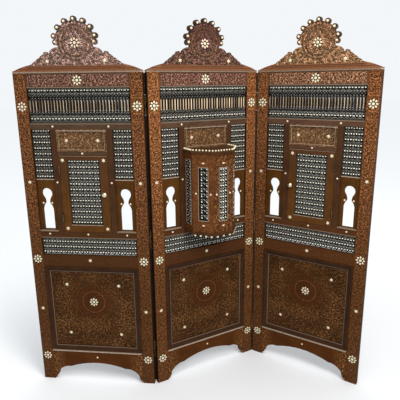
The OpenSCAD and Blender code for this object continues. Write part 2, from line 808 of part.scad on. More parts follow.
// The bay's plan, from the back of its left side round to the back of its right side
bay_plan = [[frame_mid - bay_w / 2, 0], [frame_mid - bay_w / 2, -bay_side_d],
    [frame_mid - bay_front_w / 2, -bay_d], [frame_mid + bay_front_w / 2, -bay_d],
    [frame_mid + bay_w / 2, -bay_side_d], [frame_mid + bay_w / 2, 0]];
bay_z1 = mid_z0 - bay_sill;
bay_z0 = bay_z1 - bay_board_t;
bay_h = frieze_z0 - bay_board_t - bay_z1;
side_window = [34, 34];    // heights of a facet's rails below and above its window
front_window = [60, 67];
facet_windows = [side_window, front_window, front_window, front_window, side_window];
window_rows = [12, 10, 10, 10, 12];

function facet_dir(i) = let (d = bay_plan[i + 1] - bay_plan[i]) d / norm(d);
function facet_in(i) = let (d = facet_dir(i)) [-d.y, d.x];

// The plan moved inwards by t, with mitred corners
function bay_inset(t) = [for (i = [0:5])
    i == 0 ? bay_plan[0] + t * facet_in(0)
    : i == 5 ? bay_plan[5] + t * facet_in(4)
    : bay_plan[i] + t * (facet_in(i - 1) + facet_in(i)) / (1 + facet_in(i - 1) * facet_in(i))];

module in_facet(i) {
    mid = (bay_plan[i] + bay_plan[i + 1]) / 2;
    translate([mid.x, mid.y, 0]) rotate([0, 0, atan2(facet_dir(i).y, facet_dir(i).x)]) children();
}

module bay_boards() {
    color(wood_dark) for (z = [bay_z0, bay_z1 + bay_h]) translate([0, 0, z])
        linear_extrude(bay_board_t) polygon(bay_inset(-bay_over));
}

module bay_facets() {
    inner = bay_inset(facet_t);
    color(wood_stile) for (i = [0:4]) difference() {
        d = mitre_gap * facet_dir(i);
        translate([0, 0, bay_z1]) linear_extrude(bay_h)
            polygon([bay_plan[i] + d, bay_plan[i + 1] - d, inner[i + 1] - d, inner[i] + d]);
        in_facet(i) translate([-window_w / 2, -1, bay_z1 + facet_windows[i][0]])
            cube([window_w, facet_t + 2, bay_h - facet_windows[i][0] - facet_windows[i][1]]);
    }
}

module bay_lattices() {
    color(ebony) for (i = [0:4]) {
        z0 = bay_z1 + facet_windows[i][0];
        z1 = bay_z1 + bay_h - facet_windows[i][1];
        in_facet(i) translate([0, facet_t / 2, 0])
            lattice([-window_w / 2 + lat_margin, window_w / 2 - lat_margin],
                spread(z0 + lat_margin, z1 - lat_margin, window_rows[i]), z0, z1);
    }
}

// Small beads in a row along one facet's edge of a board
module bead_row(line, i, pitch) {
    d = line[i + 1] - line[i];
    n = floor(norm(d) / pitch);
    for (k = [0:n - 1]) {
        p = line[i] + d * (k + 0.5) / n;
        translate([p.x, p.y, 0]) children();
    }
}

module bay_beads() {
    edge = bay_inset(-bay_over + small_bead_r);
    color(pearl_white) {
        translate([0, 0, bay_z1 + bay_h + bay_board_t]) for (i = [0:4])
            bead_row(edge, i, gallery_pitch) seated_bead(small_bead_r);
        translate([0, 0, bay_z0]) for (i = [1:3])
            bead_row(edge, i, fringe_pitch) mirror([0, 0, 1]) seated_bead(small_bead_r);
    }
}

module bay_pearl() {
    color(pearl_white) for (i = [1:3]) in_facet(i) {
        for (z = [bay_z1 + 36, bay_z1 + bay_h - 46]) inlay_star(0, z, star_r);
        for (s = [-1, 1]) inlay_dot(s * (window_w / 2 + 13), bay_z1 + bay_h / 2);
    }
}

// ---- the screen ----

for (f = FRAMES) in_frame(f) {
    stiles(f);
    rails();
    muntins(f);
    apron();
    crest();
    upper_lattice();
    side_lattices();
    lower_lattice();
    keyhole_boards();
    frieze_panel();
    lower_panel();
    panel_moulding();
    pearl(f);
    hinge_plates(f);
}
for (f = ["left", "right"]) in_frame(f) in_door(f) {
    door_frame();
    door_lattice();
    door_knob();
    door_pearl();
    door_hinge_plates();
}
in_frame("centre") {
    bay_boards();
    bay_facets();
    bay_lattices();
    bay_beads();
    bay_pearl();
    fold_hinge_pins();
}
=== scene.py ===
"""The look of a three-fold mashrabiya screen: carved and stained wood, ebonised turned beads,
pearl inlay and small brass hinges, on a pale studio floor.

Each of the three frames has its own plane. A place in it is given in millimetres as
(across, in, up): from its left end, behind its front face, and above the floor."""

import json
import math

import bpy
from mathutils import Matrix, Vector


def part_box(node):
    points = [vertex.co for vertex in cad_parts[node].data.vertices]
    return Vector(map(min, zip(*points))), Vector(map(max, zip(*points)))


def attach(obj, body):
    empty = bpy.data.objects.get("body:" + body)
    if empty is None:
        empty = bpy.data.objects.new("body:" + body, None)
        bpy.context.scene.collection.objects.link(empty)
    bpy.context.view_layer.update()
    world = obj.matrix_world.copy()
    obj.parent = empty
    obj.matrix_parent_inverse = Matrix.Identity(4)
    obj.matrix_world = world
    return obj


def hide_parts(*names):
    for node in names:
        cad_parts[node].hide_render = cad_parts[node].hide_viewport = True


bl_info = {
    "name": "Mashrabiya folding screen",
    "version": (1, 0, 0),
    "blender": (4, 5, 0),
    "location": "3D View > Sidebar > Screen",
    "description": "Finishes, turned lattices, inlay and fine mouldings of a carved folding screen",
    "category": "Object",
}

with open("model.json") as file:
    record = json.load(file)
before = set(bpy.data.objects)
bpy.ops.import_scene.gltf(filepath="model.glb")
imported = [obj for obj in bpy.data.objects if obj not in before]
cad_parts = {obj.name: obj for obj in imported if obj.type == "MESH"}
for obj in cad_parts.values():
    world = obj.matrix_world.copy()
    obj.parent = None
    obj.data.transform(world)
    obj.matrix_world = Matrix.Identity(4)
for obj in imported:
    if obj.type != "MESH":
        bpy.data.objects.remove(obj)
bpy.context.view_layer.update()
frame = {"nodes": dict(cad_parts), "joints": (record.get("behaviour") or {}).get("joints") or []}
FRAMES = ("left", "centre", "right")
DOORS = ("left", "right")
BODY = {name: name + "_frame" for name in FRAMES}
MM = 0.001
# Stands a pattern that was made flat upright, with its top to the front
UPRIGHT = Matrix.Rotation(math.pi / 2, 4, "X")

# ---- where the frames stand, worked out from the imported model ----

STILE_W = 60
SIDE_W = 94
MUNTIN_W = 29
FRAME_T = 25
# How far a fold's pin stands beside a frame's end, and out of its face
HALF_GAP = 1
PIN_OUT = 4.5
FRAME_W = (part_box("centre_stiles")[1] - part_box("centre_stiles")[0]).x / MM
# How far the outer frames are turned from the centre one's line, in the stance of the photograph
FOLD = {"left": math.radians(-36), "right": math.radians(-63)}
JOINTS = {joint["name"]: joint for joint in frame["joints"]}


def shift(x, y, z):
    """A move in millimetres."""
    return Matrix.Translation((x * MM, y * MM, z * MM))


def fold_pin(name):
    """The move from the floor's origin to the foot of a fold's pin."""
    x, y, _ = JOINTS[name + "_fold"]["pos_m"]
    return Matrix.Translation((x, y, 0))


def frame_place(name):
    """The matrix that carries a frame's own coordinates, front face at y = 0, to the row's."""
    if name == "centre":
        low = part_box("centre_stiles")[0]
        return Matrix.Translation((low.x, low.y, 0))
    if name == "left":
        to_pin = shift(-FRAME_W - HALF_GAP, -FRAME_T - PIN_OUT, 0)
    else:
        to_pin = shift(HALF_GAP, PIN_OUT, 0)
    return fold_pin(name) @ Matrix.Rotation(FOLD[name], 4, "Z") @ to_pin


PLACE = {name: frame_place(name) for name in FRAMES}
MID = FRAME_W / 2
MUNTIN_X = STILE_W + SIDE_W
DOOR_X = MUNTIN_X + MUNTIN_W

# Heights that the finishes and the added pieces line up with, from the floor up. BELLY_Z is the
# wide part of the tall spindles, and HINGE_Z gives each fold hinge's foot and head.
PANEL_Z = (176, 650)
LOW_LATTICE_Z = (711, 803)
MIDDLE_Z = (834, 1335)
SIDE_LATTICE_Z = 1097
DOOR_TOP = 1213.5
FRIEZE_Z = 1231
UP_LATTICE_Z = (1362, 1523)
BELLY_Z = (UP_LATTICE_Z[0] + 50, UP_LATTICE_Z[0] + 100)
STILE_TOP = 1588
CREST_FOOT = 1597
CREST_HEAD = 1719
CREST_ROSETTE = CREST_HEAD - 3
HINGE_Z = ((150, 240), (749, 839), (1398, 1488))

# The panel's medallion, the radii of the rings carved in it and round the crest's rosette, and
# the thickness of those that stand out
MEDALLION = (MID, 456)
MEDALLION_RINGS = (58, 95, 146)
CREST_RINGS = (54, 71)
RING_T = 1.5

# How far behind a frame's face the boards and panels, the crest and the frieze's moulding begin,
# and where the middles of the frames' and the doors' lattices lie
BOARD_IN = 8
CREST_IN = 3.5
FRIEZE_IN = -2
DEPTH_MID = FRAME_T / 2
DOOR_DEPTH = 10

# The door's window, inside its stiles and the gap beside them
DOOR_RIM = 39.5
WINDOW_X = (DOOR_X + DOOR_RIM, FRAME_W - DOOR_X - DOOR_RIM)
WINDOW_Z = (870.5, 1192.5)

# The turned work, at the construction's places: a ball's radius, the first row's distance from
# the opening's edge, and the lengths at which the links' patterns are turned
BALL_R = 8.3
LATTICE_IN = 10.5
BOBBIN_L = 12
SLANT_L = 20
VASE_L = 60

# The bay's plan, as in the construction: from the back of its left side to the back of its right
BAY_W = FRAME_W - 2 * DOOR_X + 6
BAY_LEFT, BAY_RIGHT = MID - BAY_W / 2, MID + BAY_W / 2
BAY_SIDE = 76
BAY_OUT = 160
BAY_FRONT = 51
BAY_PLAN = [(BAY_LEFT, 0), (BAY_LEFT, -BAY_SIDE), (MID - BAY_FRONT, -BAY_OUT),
            (MID + BAY_FRONT, -BAY_OUT), (BAY_RIGHT, -BAY_SIDE), (BAY_RIGHT, 0)]
BAY_Z = (833, 1220)
# Each facet's window: the wood below and above it, and its rows of balls. HALF_WINDOW is half
# of its width, and FACET_T the facets' thickness.
SIDE_WINDOW = (34, 34, 12)
FRONT_WINDOW = (60, 67, 10)
FACETS = (SIDE_WINDOW, FRONT_WINDOW, FRONT_WINDOW, FRONT_WINDOW, SIDE_WINDOW)
FACET_T = 12
HALF_WINDOW = 24
# The beads below the bay look this much larger than those on its top
FRINGE_SIZE = 1.3


# ---- sizes and colours that a user would change ----


def size(name, description, default_mm, low, high):
    """A length that is shown in the scene's own unit."""
    return bpy.props.FloatProperty(
        name=name, description=description, default=default_mm * MM,
        min=low * MM, max=high * MM, subtype="DISTANCE", unit="LENGTH")


def colour(name, description, default):
    """A plain colour, linear."""
    return bpy.props.FloatVectorProperty(
        name=name, description=description, default=default, min=0, max=1, size=3, subtype="COLOR")


class ScreenSizes(bpy.types.PropertyGroup):
    """Sizes of what is added to the frames"""

    rosette: size("Rosette", "Radius of a large pearl rosette", 22.5, 16, 26)
    star: size("Star", "Radius of a small pearl star", 10.2, 8, 14)
    dot: size("Dot", "Radius of a pearl dot", 4.6, 3, 7)
    crest_bead: size("Crest bead", "Radius of the beads round the crest", 6.0, 5, 10)
    inlay: size("Inlay", "How far the pearl stands out of the wood", 1.6, 0.8, 3)
    edge_bead: size("Edge bead", "Width of the light beads along the openings", 2.6, 2, 6)
    carving: size("Carving", "Depth of the carving on the stiles and rails", 1.8, 0.5, 4)


class ScreenColours(bpy.types.PropertyGroup):
    """Colours of the finishes"""

    stile: colour("Stiles", "Stained wood of the stiles", (0.122, 0.040, 0.010))
    rail: colour("Rails", "Stained wood of the rails and the crest", (0.067, 0.034, 0.019))
    panel: colour("Panels", "Stained wood of the panels", (0.042, 0.0150, 0.0026))
    dark: colour("Muntins", "Darker stained wood", (0.045, 0.018, 0.007))
    # Partly wear and partly painted highlight: the pale glints on the carving's ridges
    worn: colour("Worn ridges", "Wood that shows on the carving's ridges", (0.52, 0.22, 0.072))
    edge: colour("Edge beads", "Pale wood of the fine edge beads", (0.44, 0.33, 0.24))
    ebony: colour("Turned work", "Ebonised wood of the beads", (0.006, 0.005, 0.004))
    # Painted highlight: the pale colour on the turned beads' upper fronts, where the light falls
    crown_highlight: colour("Bead crowns", "Turned work where hands and dusters wore it", (0.84, 0.79, 0.65))
    pearl: colour("Pearl", "Shell inlay", (0.66, 0.57, 0.38))
    # Partly aged brass, partly painted shade: kept dark so the hinges in the fold gaps read as
    # shaded
    brass: colour("Brass", "Aged brass of the hinges", (0.16, 0.11, 0.05))
    knob: colour("Knobs", "Polished metal of the door knobs", (0.72, 0.62, 0.44))
    door: colour("Doors", "Stained wood of the doors", (0.073, 0.027, 0.005))
    floor: colour("Floor", "Studio floor", (0.985, 0.985, 0.985))


# ---- shader maths ----


class Wire:
    """A number or a vector in a material, so that sums on it can be written as Python."""

    def __init__(self, finish, socket):
        self.finish = finish
        self.socket = socket

    def math(self, operation, *others):
        """A sum that begins with this number."""
        return self.finish.node("ShaderNodeMath", {"operation": operation}, self, *others)

    def last(self, operation, other):
        """A sum that ends with this number."""
        return self.finish.node("ShaderNodeMath", {"operation": operation}, other, self)

    def __add__(self, other):
        return self.math("ADD", other)

    def __sub__(self, other):
        return self.math("SUBTRACT", other)

    def __mul__(self, other):
        return self.math("MULTIPLY", other)

    def __truediv__(self, other):
        return self.math("DIVIDE", other)

    def __rsub__(self, other):
        return self.last("SUBTRACT", other)

    def __rtruediv__(self, other):
        return self.last("DIVIDE", other)

    def __abs__(self):
        return self.math("ABSOLUTE")

    __radd__ = __add__
    __rmul__ = __mul__

    def sine(self):
        return self.math("SINE")

    def lowest(self, other):
        return self.math("MINIMUM", other)

    def highest(self, other):
        return self.math("MAXIMUM", other)

    def cycle(self, length):
        """Where this is within a repeat of that length, from 0 to 1."""
        return (self / length).math("FRACT")

    def rise(self, low, high):
        """0 below low, 1 above high, and smooth between them; high may be the lower one."""
        return self.finish.node(
            "ShaderNodeMapRange", {"interpolation_type": "SMOOTHSTEP"}, self, low, high, 0.0, 1.0)

    def ridge(self, centre, half, soft):
        """1 within half of centre, falling to 0 over soft."""
        return abs(self - centre).rise(half + soft, half)

    def ridges(self, centres, half, soft):
        """A ridge at each of the centres."""
        first, *others = [self.ridge(centre, half, soft) for centre in centres]
        for other in others:
            first = first.highest(other)
        return first

    def between(self, low, high, soft=1.0):
        """1 between low and high."""
        return self.rise(low - soft, low).lowest(self.rise(high + soft, high))


def distance(x, z):
    """How far a place lies from a middle, from how far it lies across and up."""
    return (x * x + z * z).math("SQRT")


def blend(finish, factor, low, high):
    """A colour between two colours."""
    return finish.node(
        "ShaderNodeMix", {"data_type": "RGBA"}, out=2, sockets={0: factor, 6: low, 7: high})


def shade(colour, factor):
    """A colour times a factor, or times a factor for each channel."""
    factors = factor if hasattr(factor, "__len__") else (factor,) * 3
    return tuple(min(1.0, c * k) for c, k in zip(colour, factors))


class Finish:
    """A material being made. Its place (x, y, z) is in millimetres, in one frame's own plane."""

    def __init__(self, name, place=None, **shader):
        self.material = bpy.data.materials.new(name)
        self.material.use_nodes = True
        self.tree = self.material.node_tree
        self.shader = self.tree.nodes["Principled BSDF"]
        for socket, value in shader.items():
            self.shader.inputs[socket.replace("_", " ")].default_value = value
        place = place or Matrix.Identity(4)
        self.turn = place.to_3x3()
        inverse = place.inverted()
        self.place = self.node(
            "ShaderNodeMapping", {"vector_type": "POINT"}, self.node("ShaderNodeTexCoord", out=3),
            tuple(value / MM for value in inverse.translation), tuple(inverse.to_euler()),
            (1 / MM,) * 3)
        self.x, self.y, self.z = self.split(self.place)
        self.normal = self.node("ShaderNodeTexCoord", out=1)
        self.face = self.join(self.x, self.z, 0.0)

    def node(self, kind, settings=None, *values, out=0, sockets=None):
        """A new node of a kind: its settings first, then its sockets' values or links.

        The values go to its first sockets in turn, and others are given by name or number.
        """
        node = self.tree.nodes.new(kind)
        for key, value in (settings or {}).items():
            setattr(node, key, value)
        for key, value in (dict(enumerate(values)) | (sockets or {})).items():
            self.put(node.inputs[key], value)
        return Wire(self, node.outputs[out])

    def put(self, socket, value):
        """Links a wire to a socket, or sets it."""
        if isinstance(value, Wire):
            self.tree.links.new(value.socket, socket)
        elif hasattr(value, "__len__") and len(value) == 3 and len(socket.default_value) == 4:
            socket.default_value = (*value, 1)
        else:
            socket.default_value = value

    def split(self, vector):
        """The three parts of a vector or a colour."""
        parts = self.node("ShaderNodeSeparateXYZ", None, vector).socket.node.outputs
        return [Wire(self, part) for part in parts]

    def join(self, x, y, z):
        """A vector from its three parts."""
        return self.node("ShaderNodeCombineXYZ", None, x, y, z)

    def vector(self, operation, *values, out=0):
        """A sum on whole vectors."""
        return self.node("ShaderNodeVectorMath", {"operation": operation}, *values, out=out)

    def facing(self, *way):
        """How far the surface looks in a direction of the frame's own, from -1 to 1."""
        return self.vector("DOT_PRODUCT", self.normal,
                           tuple(self.turn @ Vector(way).normalized()), out=1)

    def front(self):
        """1 where a face looks to the frame's front."""
        return self.facing(0, -1, 0).rise(0.5, 0.8)

    def noise(self, vector, scale, detail=3.0, rough=0.5, out=0):
        """Soft random patches, from 0 to 1."""
        return self.node("ShaderNodeTexNoise", out=out, sockets={
            "Vector": vector, "Scale": scale, "Detail": detail, "Roughness": rough})

    def cells(self, vector, scale, feature="DISTANCE_TO_EDGE", out=0):
        """Round cells on the face: the distance, the colour or the place of the nearest heart."""
        return self.node("ShaderNodeTexVoronoi", {"feature": feature, "voronoi_dimensions": "2D"},
                         out=out, sockets={"Vector": vector, "Scale": scale})

    def finish(self, colour, roughness, height, depth=1.0, coat=None):
        """Feeds the shader: colour, roughness, and the height in millimetres as relief."""
        self.put(self.shader.inputs["Base Color"], colour)
        self.put(self.shader.inputs["Roughness"], roughness)
        if height is not None:
            bump = self.node("ShaderNodeBump", sockets={
                "Strength": 1.0, "Distance": depth * MM, "Height": height})
            self.put(self.shader.inputs["Normal"], bump)
        if coat is not None:
            self.put(self.shader.inputs["Coat Weight"], coat)
        return self.material


# ---- carved patterns, each 0 in the ground and 1 on the ridges ----


def scrolls(f, size_mm, step_mm, mirror=None):
    """Arabesque: stems that curl round random hearts, with a raised line where two meet.

    The hearts lie about size_mm apart and the turns of a curl step_mm. The pattern is mirrored
    about a line where mirror, the distance from that line, is given.
    """
    face = f.face if mirror is None else f.join(abs(mirror), f.z, 0.0)
    # Noise bends the face, so that no two hearts are alike
    bend = f.noise(face, 0.5 / size_mm, 1.0, 0.5, out=1)
    bent = f.vector("MULTIPLY_ADD", bend, (size_mm * 0.9, size_mm * 0.9, 0), face)
    heart = f.cells(bent, 1 / size_mm, "F1", out=2)
    # Each heart's stem curls to its own hand and begins at its own angle
    chance, phase, _ = f.split(f.cells(bent, 1 / size_mm, "F1", out=1))
    across, up, _ = f.split(f.vector("SUBTRACT", bent, heart))
    hand = chance.rise(0.499, 0.501) * 2.0 - 1.0
    angle = (up * hand).math("ARCTAN2", across)
    reach = distance(across, up)
    leaf = (angle * 7.0 + reach * 1.3).sine() * 0.07
    curl = (angle / (2 * math.pi) + reach / step_mm + phase).cycle(1.0)
    curls = (abs(curl - 0.5) + leaf).rise(0.30, 0.16)
    edge = f.cells(bent, 1 / size_mm).rise(0.10, 0.05)
    heart_bud = reach.rise(step_mm * 0.42, step_mm * 0.28)
    return curls.highest(edge).highest(heart_bud)


def stained(f, base, along):
    """The colour and the tone of smooth stained wood, with long grain along x or z."""
    stretch = (0.05, 0.6, 0.6) if along == "x" else (0.6, 0.6, 0.05)
    tone = f.noise(f.vector("MULTIPLY", f.place, stretch), 0.35, 5.0, 0.62)
    patches = f.noise(f.place, 0.012, 2.0)
    depth = (tone * 0.65 + patches * 0.5 - 0.05).rise(0.2, 0.85)
    return blend(f, depth, shade(base, 0.55), shade(base, 1.5)), tone


def carved(f, base, along, ridges, plain, worn, wear_and_glint_amount=1.0):
    """Stained wood: dark in the carving's ground, pale on its ridges with wear and painted glints
    of light, and even where plain.
    """
    body, tone = stained(f, base, along)
    cut = blend(f, ridges.rise(0.0, 0.75), shade(base, 0.07), body)
    # The ridges turn pale in patches: partly wear, partly painted glints of light
    rub_and_glint = f.noise(f.place, 0.11, 3.0)
    top = blend(f, (ridges * (rub_and_glint * 2.8 - 0.8) * wear_and_glint_amount).rise(0.2, 1.1), cut, worn)
    return blend(f, plain, top, body), tone


# ---- where a piece is left plain or turned pale or dark: 0 elsewhere, up to 1 there ----


def rail_fields(f):
    """The plain rails and borders: all but the top rail's and the lock rail's carved fields."""
    top_rail = f.z.between(UP_LATTICE_Z[1] + 7, STILE_TOP - 7)
    lock_rail = f.z.between(PANEL_Z[1] + 8, LOW_LATTICE_Z[0] - 8) * 0.5
    middle = abs(f.x - MID).rise(MID - STILE_W - 6, MID - STILE_W - 8)
    return 1.0 - top_rail.highest(lock_rail) * middle


def rail_edges(f):
    """Pale edges where a rail meets a lattice."""
    edges = (UP_LATTICE_Z[1] + 1.5, UP_LATTICE_Z[0] - 1.5, LOW_LATTICE_Z[1] + 1.5)
    return f.z.ridges(edges, 1.2, 0.8) * 0.45


def door_head(f):
    """The darker head of a door, under the frieze."""
    return f.z.rise(*DOOR_FADE)


def apron_field(f):
    """The apron's plain middle; its feet are carved."""
    return abs(f.x - MID).rise(MID - STILE_W - 2, MID - STILE_W - 80)


def moulding_edges(f):
    """Pale lines on the panel moulding's inner edge and along its foot."""
    across = abs(f.x - MID) - (MID - STILE_W)
    up = abs(f.z - (PANEL_Z[0] + PANEL_Z[1]) / 2) - (PANEL_Z[1] - PANEL_Z[0]) / 2
    inner = across.highest(up).ridge(-27.0, 1.3, 1.0) * 0.45
    foot = f.z.between(PANEL_Z[0], PANEL_Z[0] + 3)
    return inner.highest(foot)


def board_edges(f):
    """Pale edges: the keyhole board's top, and the ledge at its foot, whose lit top takes a painted
    highlight.
    """
    # Painted highlight on the ledge, where light falls on its top
    ledge = f.z.between(MIDDLE_Z[0] + 3, MIDDLE_Z[0] + 10) * f.y.rise(6.0, 2.0)
    return f.z.between(SIDE_LATTICE_Z - 3, SIDE_LATTICE_Z + 1).highest(ledge * 0.4)


def frieze_edges(f):
    """Pale edges on the frieze's moulding."""
    proud = f.y.rise(4.0, 1.0)
    top = f.z.between(MIDDLE_Z[1] - 9, MIDDLE_Z[1] - 4, 0.6)
    across = abs(f.x - MID) - (MID - DOOR_X)
    inner = across.ridge(-9.0, 1.0, 0.8).highest(f.z.ridge(FRIEZE_Z + 9.0, 1.0, 0.8)) * 0.35
    return top.highest(inner) * proud


# ---- finishes ----


WOOD = {"Specular_IOR_Level": 0.055}
# Between these heights the stiles, rails, doors and crests turn into their second colour
STILE_FADE = (1250, 500)
RAIL_FADE = (1000, 760)
DOOR_FADE = (1000, 1150)
CREST_FADE = (1660, 1780)
# On the lower panel: the radii between which the medallion turns reddish, and how far from the
# middle the ribbed borders lie
ROSE_FADE = (125, 60)
RIBS_X = (186, 205)


def stile_finish(name, place, colours, depth, share):
    """A mirrored arabesque between two plain edges, alike on both stiles, with painted shade on
    the side faces.
    """
    f = Finish("carved stile " + name, place, **WOOD)
    x = abs(f.x - MID) - (MID - STILE_W / 2)
    plain = abs(x).rise(STILE_W / 2 - 4, STILE_W / 2 - 3).highest(1.0 - f.front())
    ridges = scrolls(f, 15.0, 5.8, x).highest(plain)
    top, tone = carved(f, shade(colours.stile, share), "z", ridges, plain,
                       shade(colours.worn, (share, 0.92 * share, share)))
    top = blend(f, f.z.rise(*STILE_FADE) * 0.6, top, shade(colours.panel, (1.2, 1.15, 1.0)))
    # Painted shade: the stiles' side faces are darkened
    side = abs(f.facing(1, 0, 0)).rise(0.6, 0.9)
    top = blend(f, side, top, shade(colours.dark, 0.45))
    return f.finish(top, tone * 0.25 + 0.42, ridges + tone * 0.15, depth)


def scroll_finish(name, place, base, worn, size_mm, step_mm, depth, field=None, edges=None,
                  pale=None, wear_and_glint_amount=1.0, fade=None):
    """Scrollwork in a flat face, with plain fields, pale edges and a darker foot if asked for."""
    f = Finish(name, place, **WOOD)
    plain = 1.0 - f.front()
    if field is not None:
        plain = plain.highest(field(f))
    ridges = scrolls(f, size_mm, step_mm).highest(plain)
    top, tone = carved(f, base, "x", ridges, plain, worn, wear_and_glint_amount)
    if fade is not None:
        top = blend(f, f.z.rise(*fade) * 0.85, top, shade(base, (0.85, 0.5, 0.08)))
    if edges is not None:
        top = blend(f, edges(f) * 0.7, top, pale)
    return f.finish(top, tone * 0.2 + 0.42, ridges + tone * 0.12, depth)


def plain_finish(name, place, base, along="x", part=None, second=None):
    """Smooth stained wood with its grain, and a second colour on the part where one is given."""
    f = Finish(name, place, **WOOD)
    top, tone = stained(f, base, along)
    if part is not None:
        top = blend(f, part(f) * 0.75, top, second)
    return f.finish(top, tone * 0.25 + 0.38, tone, 0.12)


def crest_finish(name, place, colours, depth, tint, head):
    """The crest: cornice and hatched band at its foot, scrolls and rings, and lobes at its rim
    darkened with painted shadow round the beads.
    """
    f = Finish("carved crest " + name, place, **WOOD)
    r = distance(f.x - MID, f.z - CREST_ROSETTE)
    rings = r.ridges(CREST_RINGS, 1.8, 1.2)
    hollows = r.ridges([ring + 5 for ring in CREST_RINGS], 2.2, 1.5)
    front = f.front()
    plain = 1.0 - front
    band = f.z.between(CREST_FOOT - 2, CREST_FOOT + 22)
    hatch = (f.x * 1.1 + (f.z * 0.6).sine() * 1.5).sine().rise(-0.5, 0.7)
    ridges = scrolls(f, 16.0, 5.6).highest(rings)
    ridges = ridges * (1.0 - band) + (hatch * 0.5 + 0.4) * band
    ridges = ridges.highest(plain)
    wood = shade(colours.rail, tint)
    top, tone = carved(f, shade(wood, 0.9), "x", ridges, plain,
                       shade(shade(colours.worn, tint), (0.9, 0.92, 2.0)), 0.85)
    bright = blend(f, hatch * 0.6 + tone * 0.4, shade(colours.stile, (0.7, 0.85, 1.8)),
                   shade(colours.stile, (2.7, 3.2, 5.4)))
    bright = blend(f, f.z.ridge(CREST_FOOT + 9, 1.4, 1.2) * 0.7, bright, shade(colours.dark, 1.2))
    top = blend(f, band * front, top, bright)
    top = blend(f, rings * front * 0.6, top, shade(colours.edge, (1.0, 0.9, 0.7)))
    top = blend(f, hollows * front * 0.6, top, shade(colours.dark, 0.7))
    top = blend(f, f.z.rise(*CREST_FADE) * front * head, top, shade(wood, (0.75, 0.4, 0.8)))
    # Painted shadow: the lobes round the beads at the crest's rim are darkened
    rim = r.rise(86.0, 90.0) * f.z.rise(CREST_HEAD - 16, CREST_HEAD - 12)
    top = blend(f, rim * 0.6, top, shade(colours.dark, 0.4))
    lip = f.z.between(STILE_TOP, STILE_TOP + 5, 0.5)
    top = blend(f, lip * 0.85, top, colours.edge)
    return f.finish(top, tone * 0.2 + 0.4, ridges + tone * 0.12, depth)


def panel_finish(name, place, colours):
    """The lower panel: a round medallion in fine scrolls, with ribbed borders at its sides."""
    f = Finish("carved panel " + name, place, **WOOD)
    dx = f.x - MEDALLION[0]
    dz = f.z - MEDALLION[1]
    r = distance(dx, dz)
    turn = dz.math("ARCTAN2", dx)
    petals = ((turn * 24.0).sine() * 3.0 + r).cycle(11.0).ridge(0.5, 0.2, 0.25) * 0.75
    fine = scrolls(f, 14.0, 5.2)
    inside = r.rise(MEDALLION_RINGS[-1], MEDALLION_RINGS[-1] - 4)
    ridges = fine * (1.0 - inside) + petals.highest(fine * 0.8) * inside
    ridges = ridges.highest(r.ridges(MEDALLION_RINGS, 1.6, 1.2))
    ribs = abs(dx).between(*RIBS_X)
    ridges = ridges * (1.0 - ribs) + f.z.cycle(8.0).ridge(0.5, 0.2, 0.2) * ribs
    front = f.front()
    plain = 1.0 - front
    ridges = ridges.highest(plain)
    rose = r.rise(*ROSE_FADE)
    patches = f.noise(f.place, 0.008, 2.0).rise(0.3, 0.7) * 0.4 + 0.6
    top, tone = carved(f, colours.panel, "x", ridges * (1.0 - rose * 0.3), plain,
                       shade(colours.worn, (0.46, 0.47, 0.45)), patches)
    top = blend(f, rose * 0.35, top, shade(colours.panel, (1.7, 1.0, 1.0)))
    top = blend(f, r.ridges(MEDALLION_RINGS, 1.4, 1.2) * front * 0.1, top, colours.worn)
    return f.finish(top, tone * 0.2 + 0.42, ridges + tone * 0.12, 1.2)


def ebony_finish(name, place, colours, depth=None, tall_rows=None, side=None):
    """Ebonised turned wood, polished, with a painted highlight on the upper fronts of its beads.

    Where the lattice's depth is given, the links between the beads lie lower and take only a
    dim painted light on their upper sides, with black undersides. The tall spindles between the
    heights tall_rows lose both, but for a painted highlight down their bellies. The beads left
    of side take a painted highlight on their left.
    """
    f = Finish("ebonised turned wood " + name, place, Coat_Roughness=0.2, Specular_IOR_Level=0.05)
    rub_and_glint = f.noise(f.place, 0.09, 3.0)
    rings = f.noise(f.place, 0.9, 2.0)
    top = blend(f, (rub_and_glint * 0.7 + rings * 0.4).rise(0.42, 0.75),
                colours.ebony, shade(colours.ebony, 3.0))
    # Painted highlight: the beads' upper fronts, which face the light, turn pale in patches
    crown_highlight = f.facing(0, -0.85, 0.53).rise(0.88, 0.975) * (rub_and_glint * 1.3 + 0.25)
    if depth is not None:
        crown_highlight = crown_highlight * ((depth - f.y).rise(5.3, 5.8) * 0.85 + 0.15)
        # Painted light: the links' upper sides take a dim highlight colour, their undersides stay
        # black
        links = (depth - f.y).rise(4.9, 4.0) * f.facing(0, -0.7, 0.7).rise(-0.2, 0.6) * 0.8
        if tall_rows is not None:
            # The tall spindles lose the painted highlight and the links' painted light
            tall = f.z.between(tall_rows[0] - 4, tall_rows[1] + 26, 4.0)
            crown_highlight = crown_highlight * (1.0 - tall * 0.93)
            links = links * (1.0 - tall)
        top = blend(f, links, top, shade(colours.crown_highlight, 0.09))
    if side is not None:
        # Painted highlight on the left sides of the beads left of side
        crown_highlight = crown_highlight.highest(f.facing(-0.85, -0.3, 0.4).rise(0.95, 1.0) * f.x.rise(side + 6, side))
    top = blend(f, crown_highlight.lowest(1.0), top, colours.crown_highlight)
    if tall_rows is not None:
        # Painted highlight: a pale line down the left-front of some tall spindles' bellies
        belly_highlight = f.z.between(*tall_rows, 8.0) * f.facing(-0.45, -0.89, 0).rise(0.92, 0.99)
        some = f.noise(f.vector("MULTIPLY", f.place, (1.0, 0.0, 0.0)), 0.06, 1.0).rise(0.35, 0.6)
        top = blend(f, belly_highlight * (some * 0.85 + 0.1), top, shade(colours.edge, (1.8, 1.75, 1.5)))
    return f.finish(top, rings * 0.15 + 0.28, rings, 0.08, 0.03)


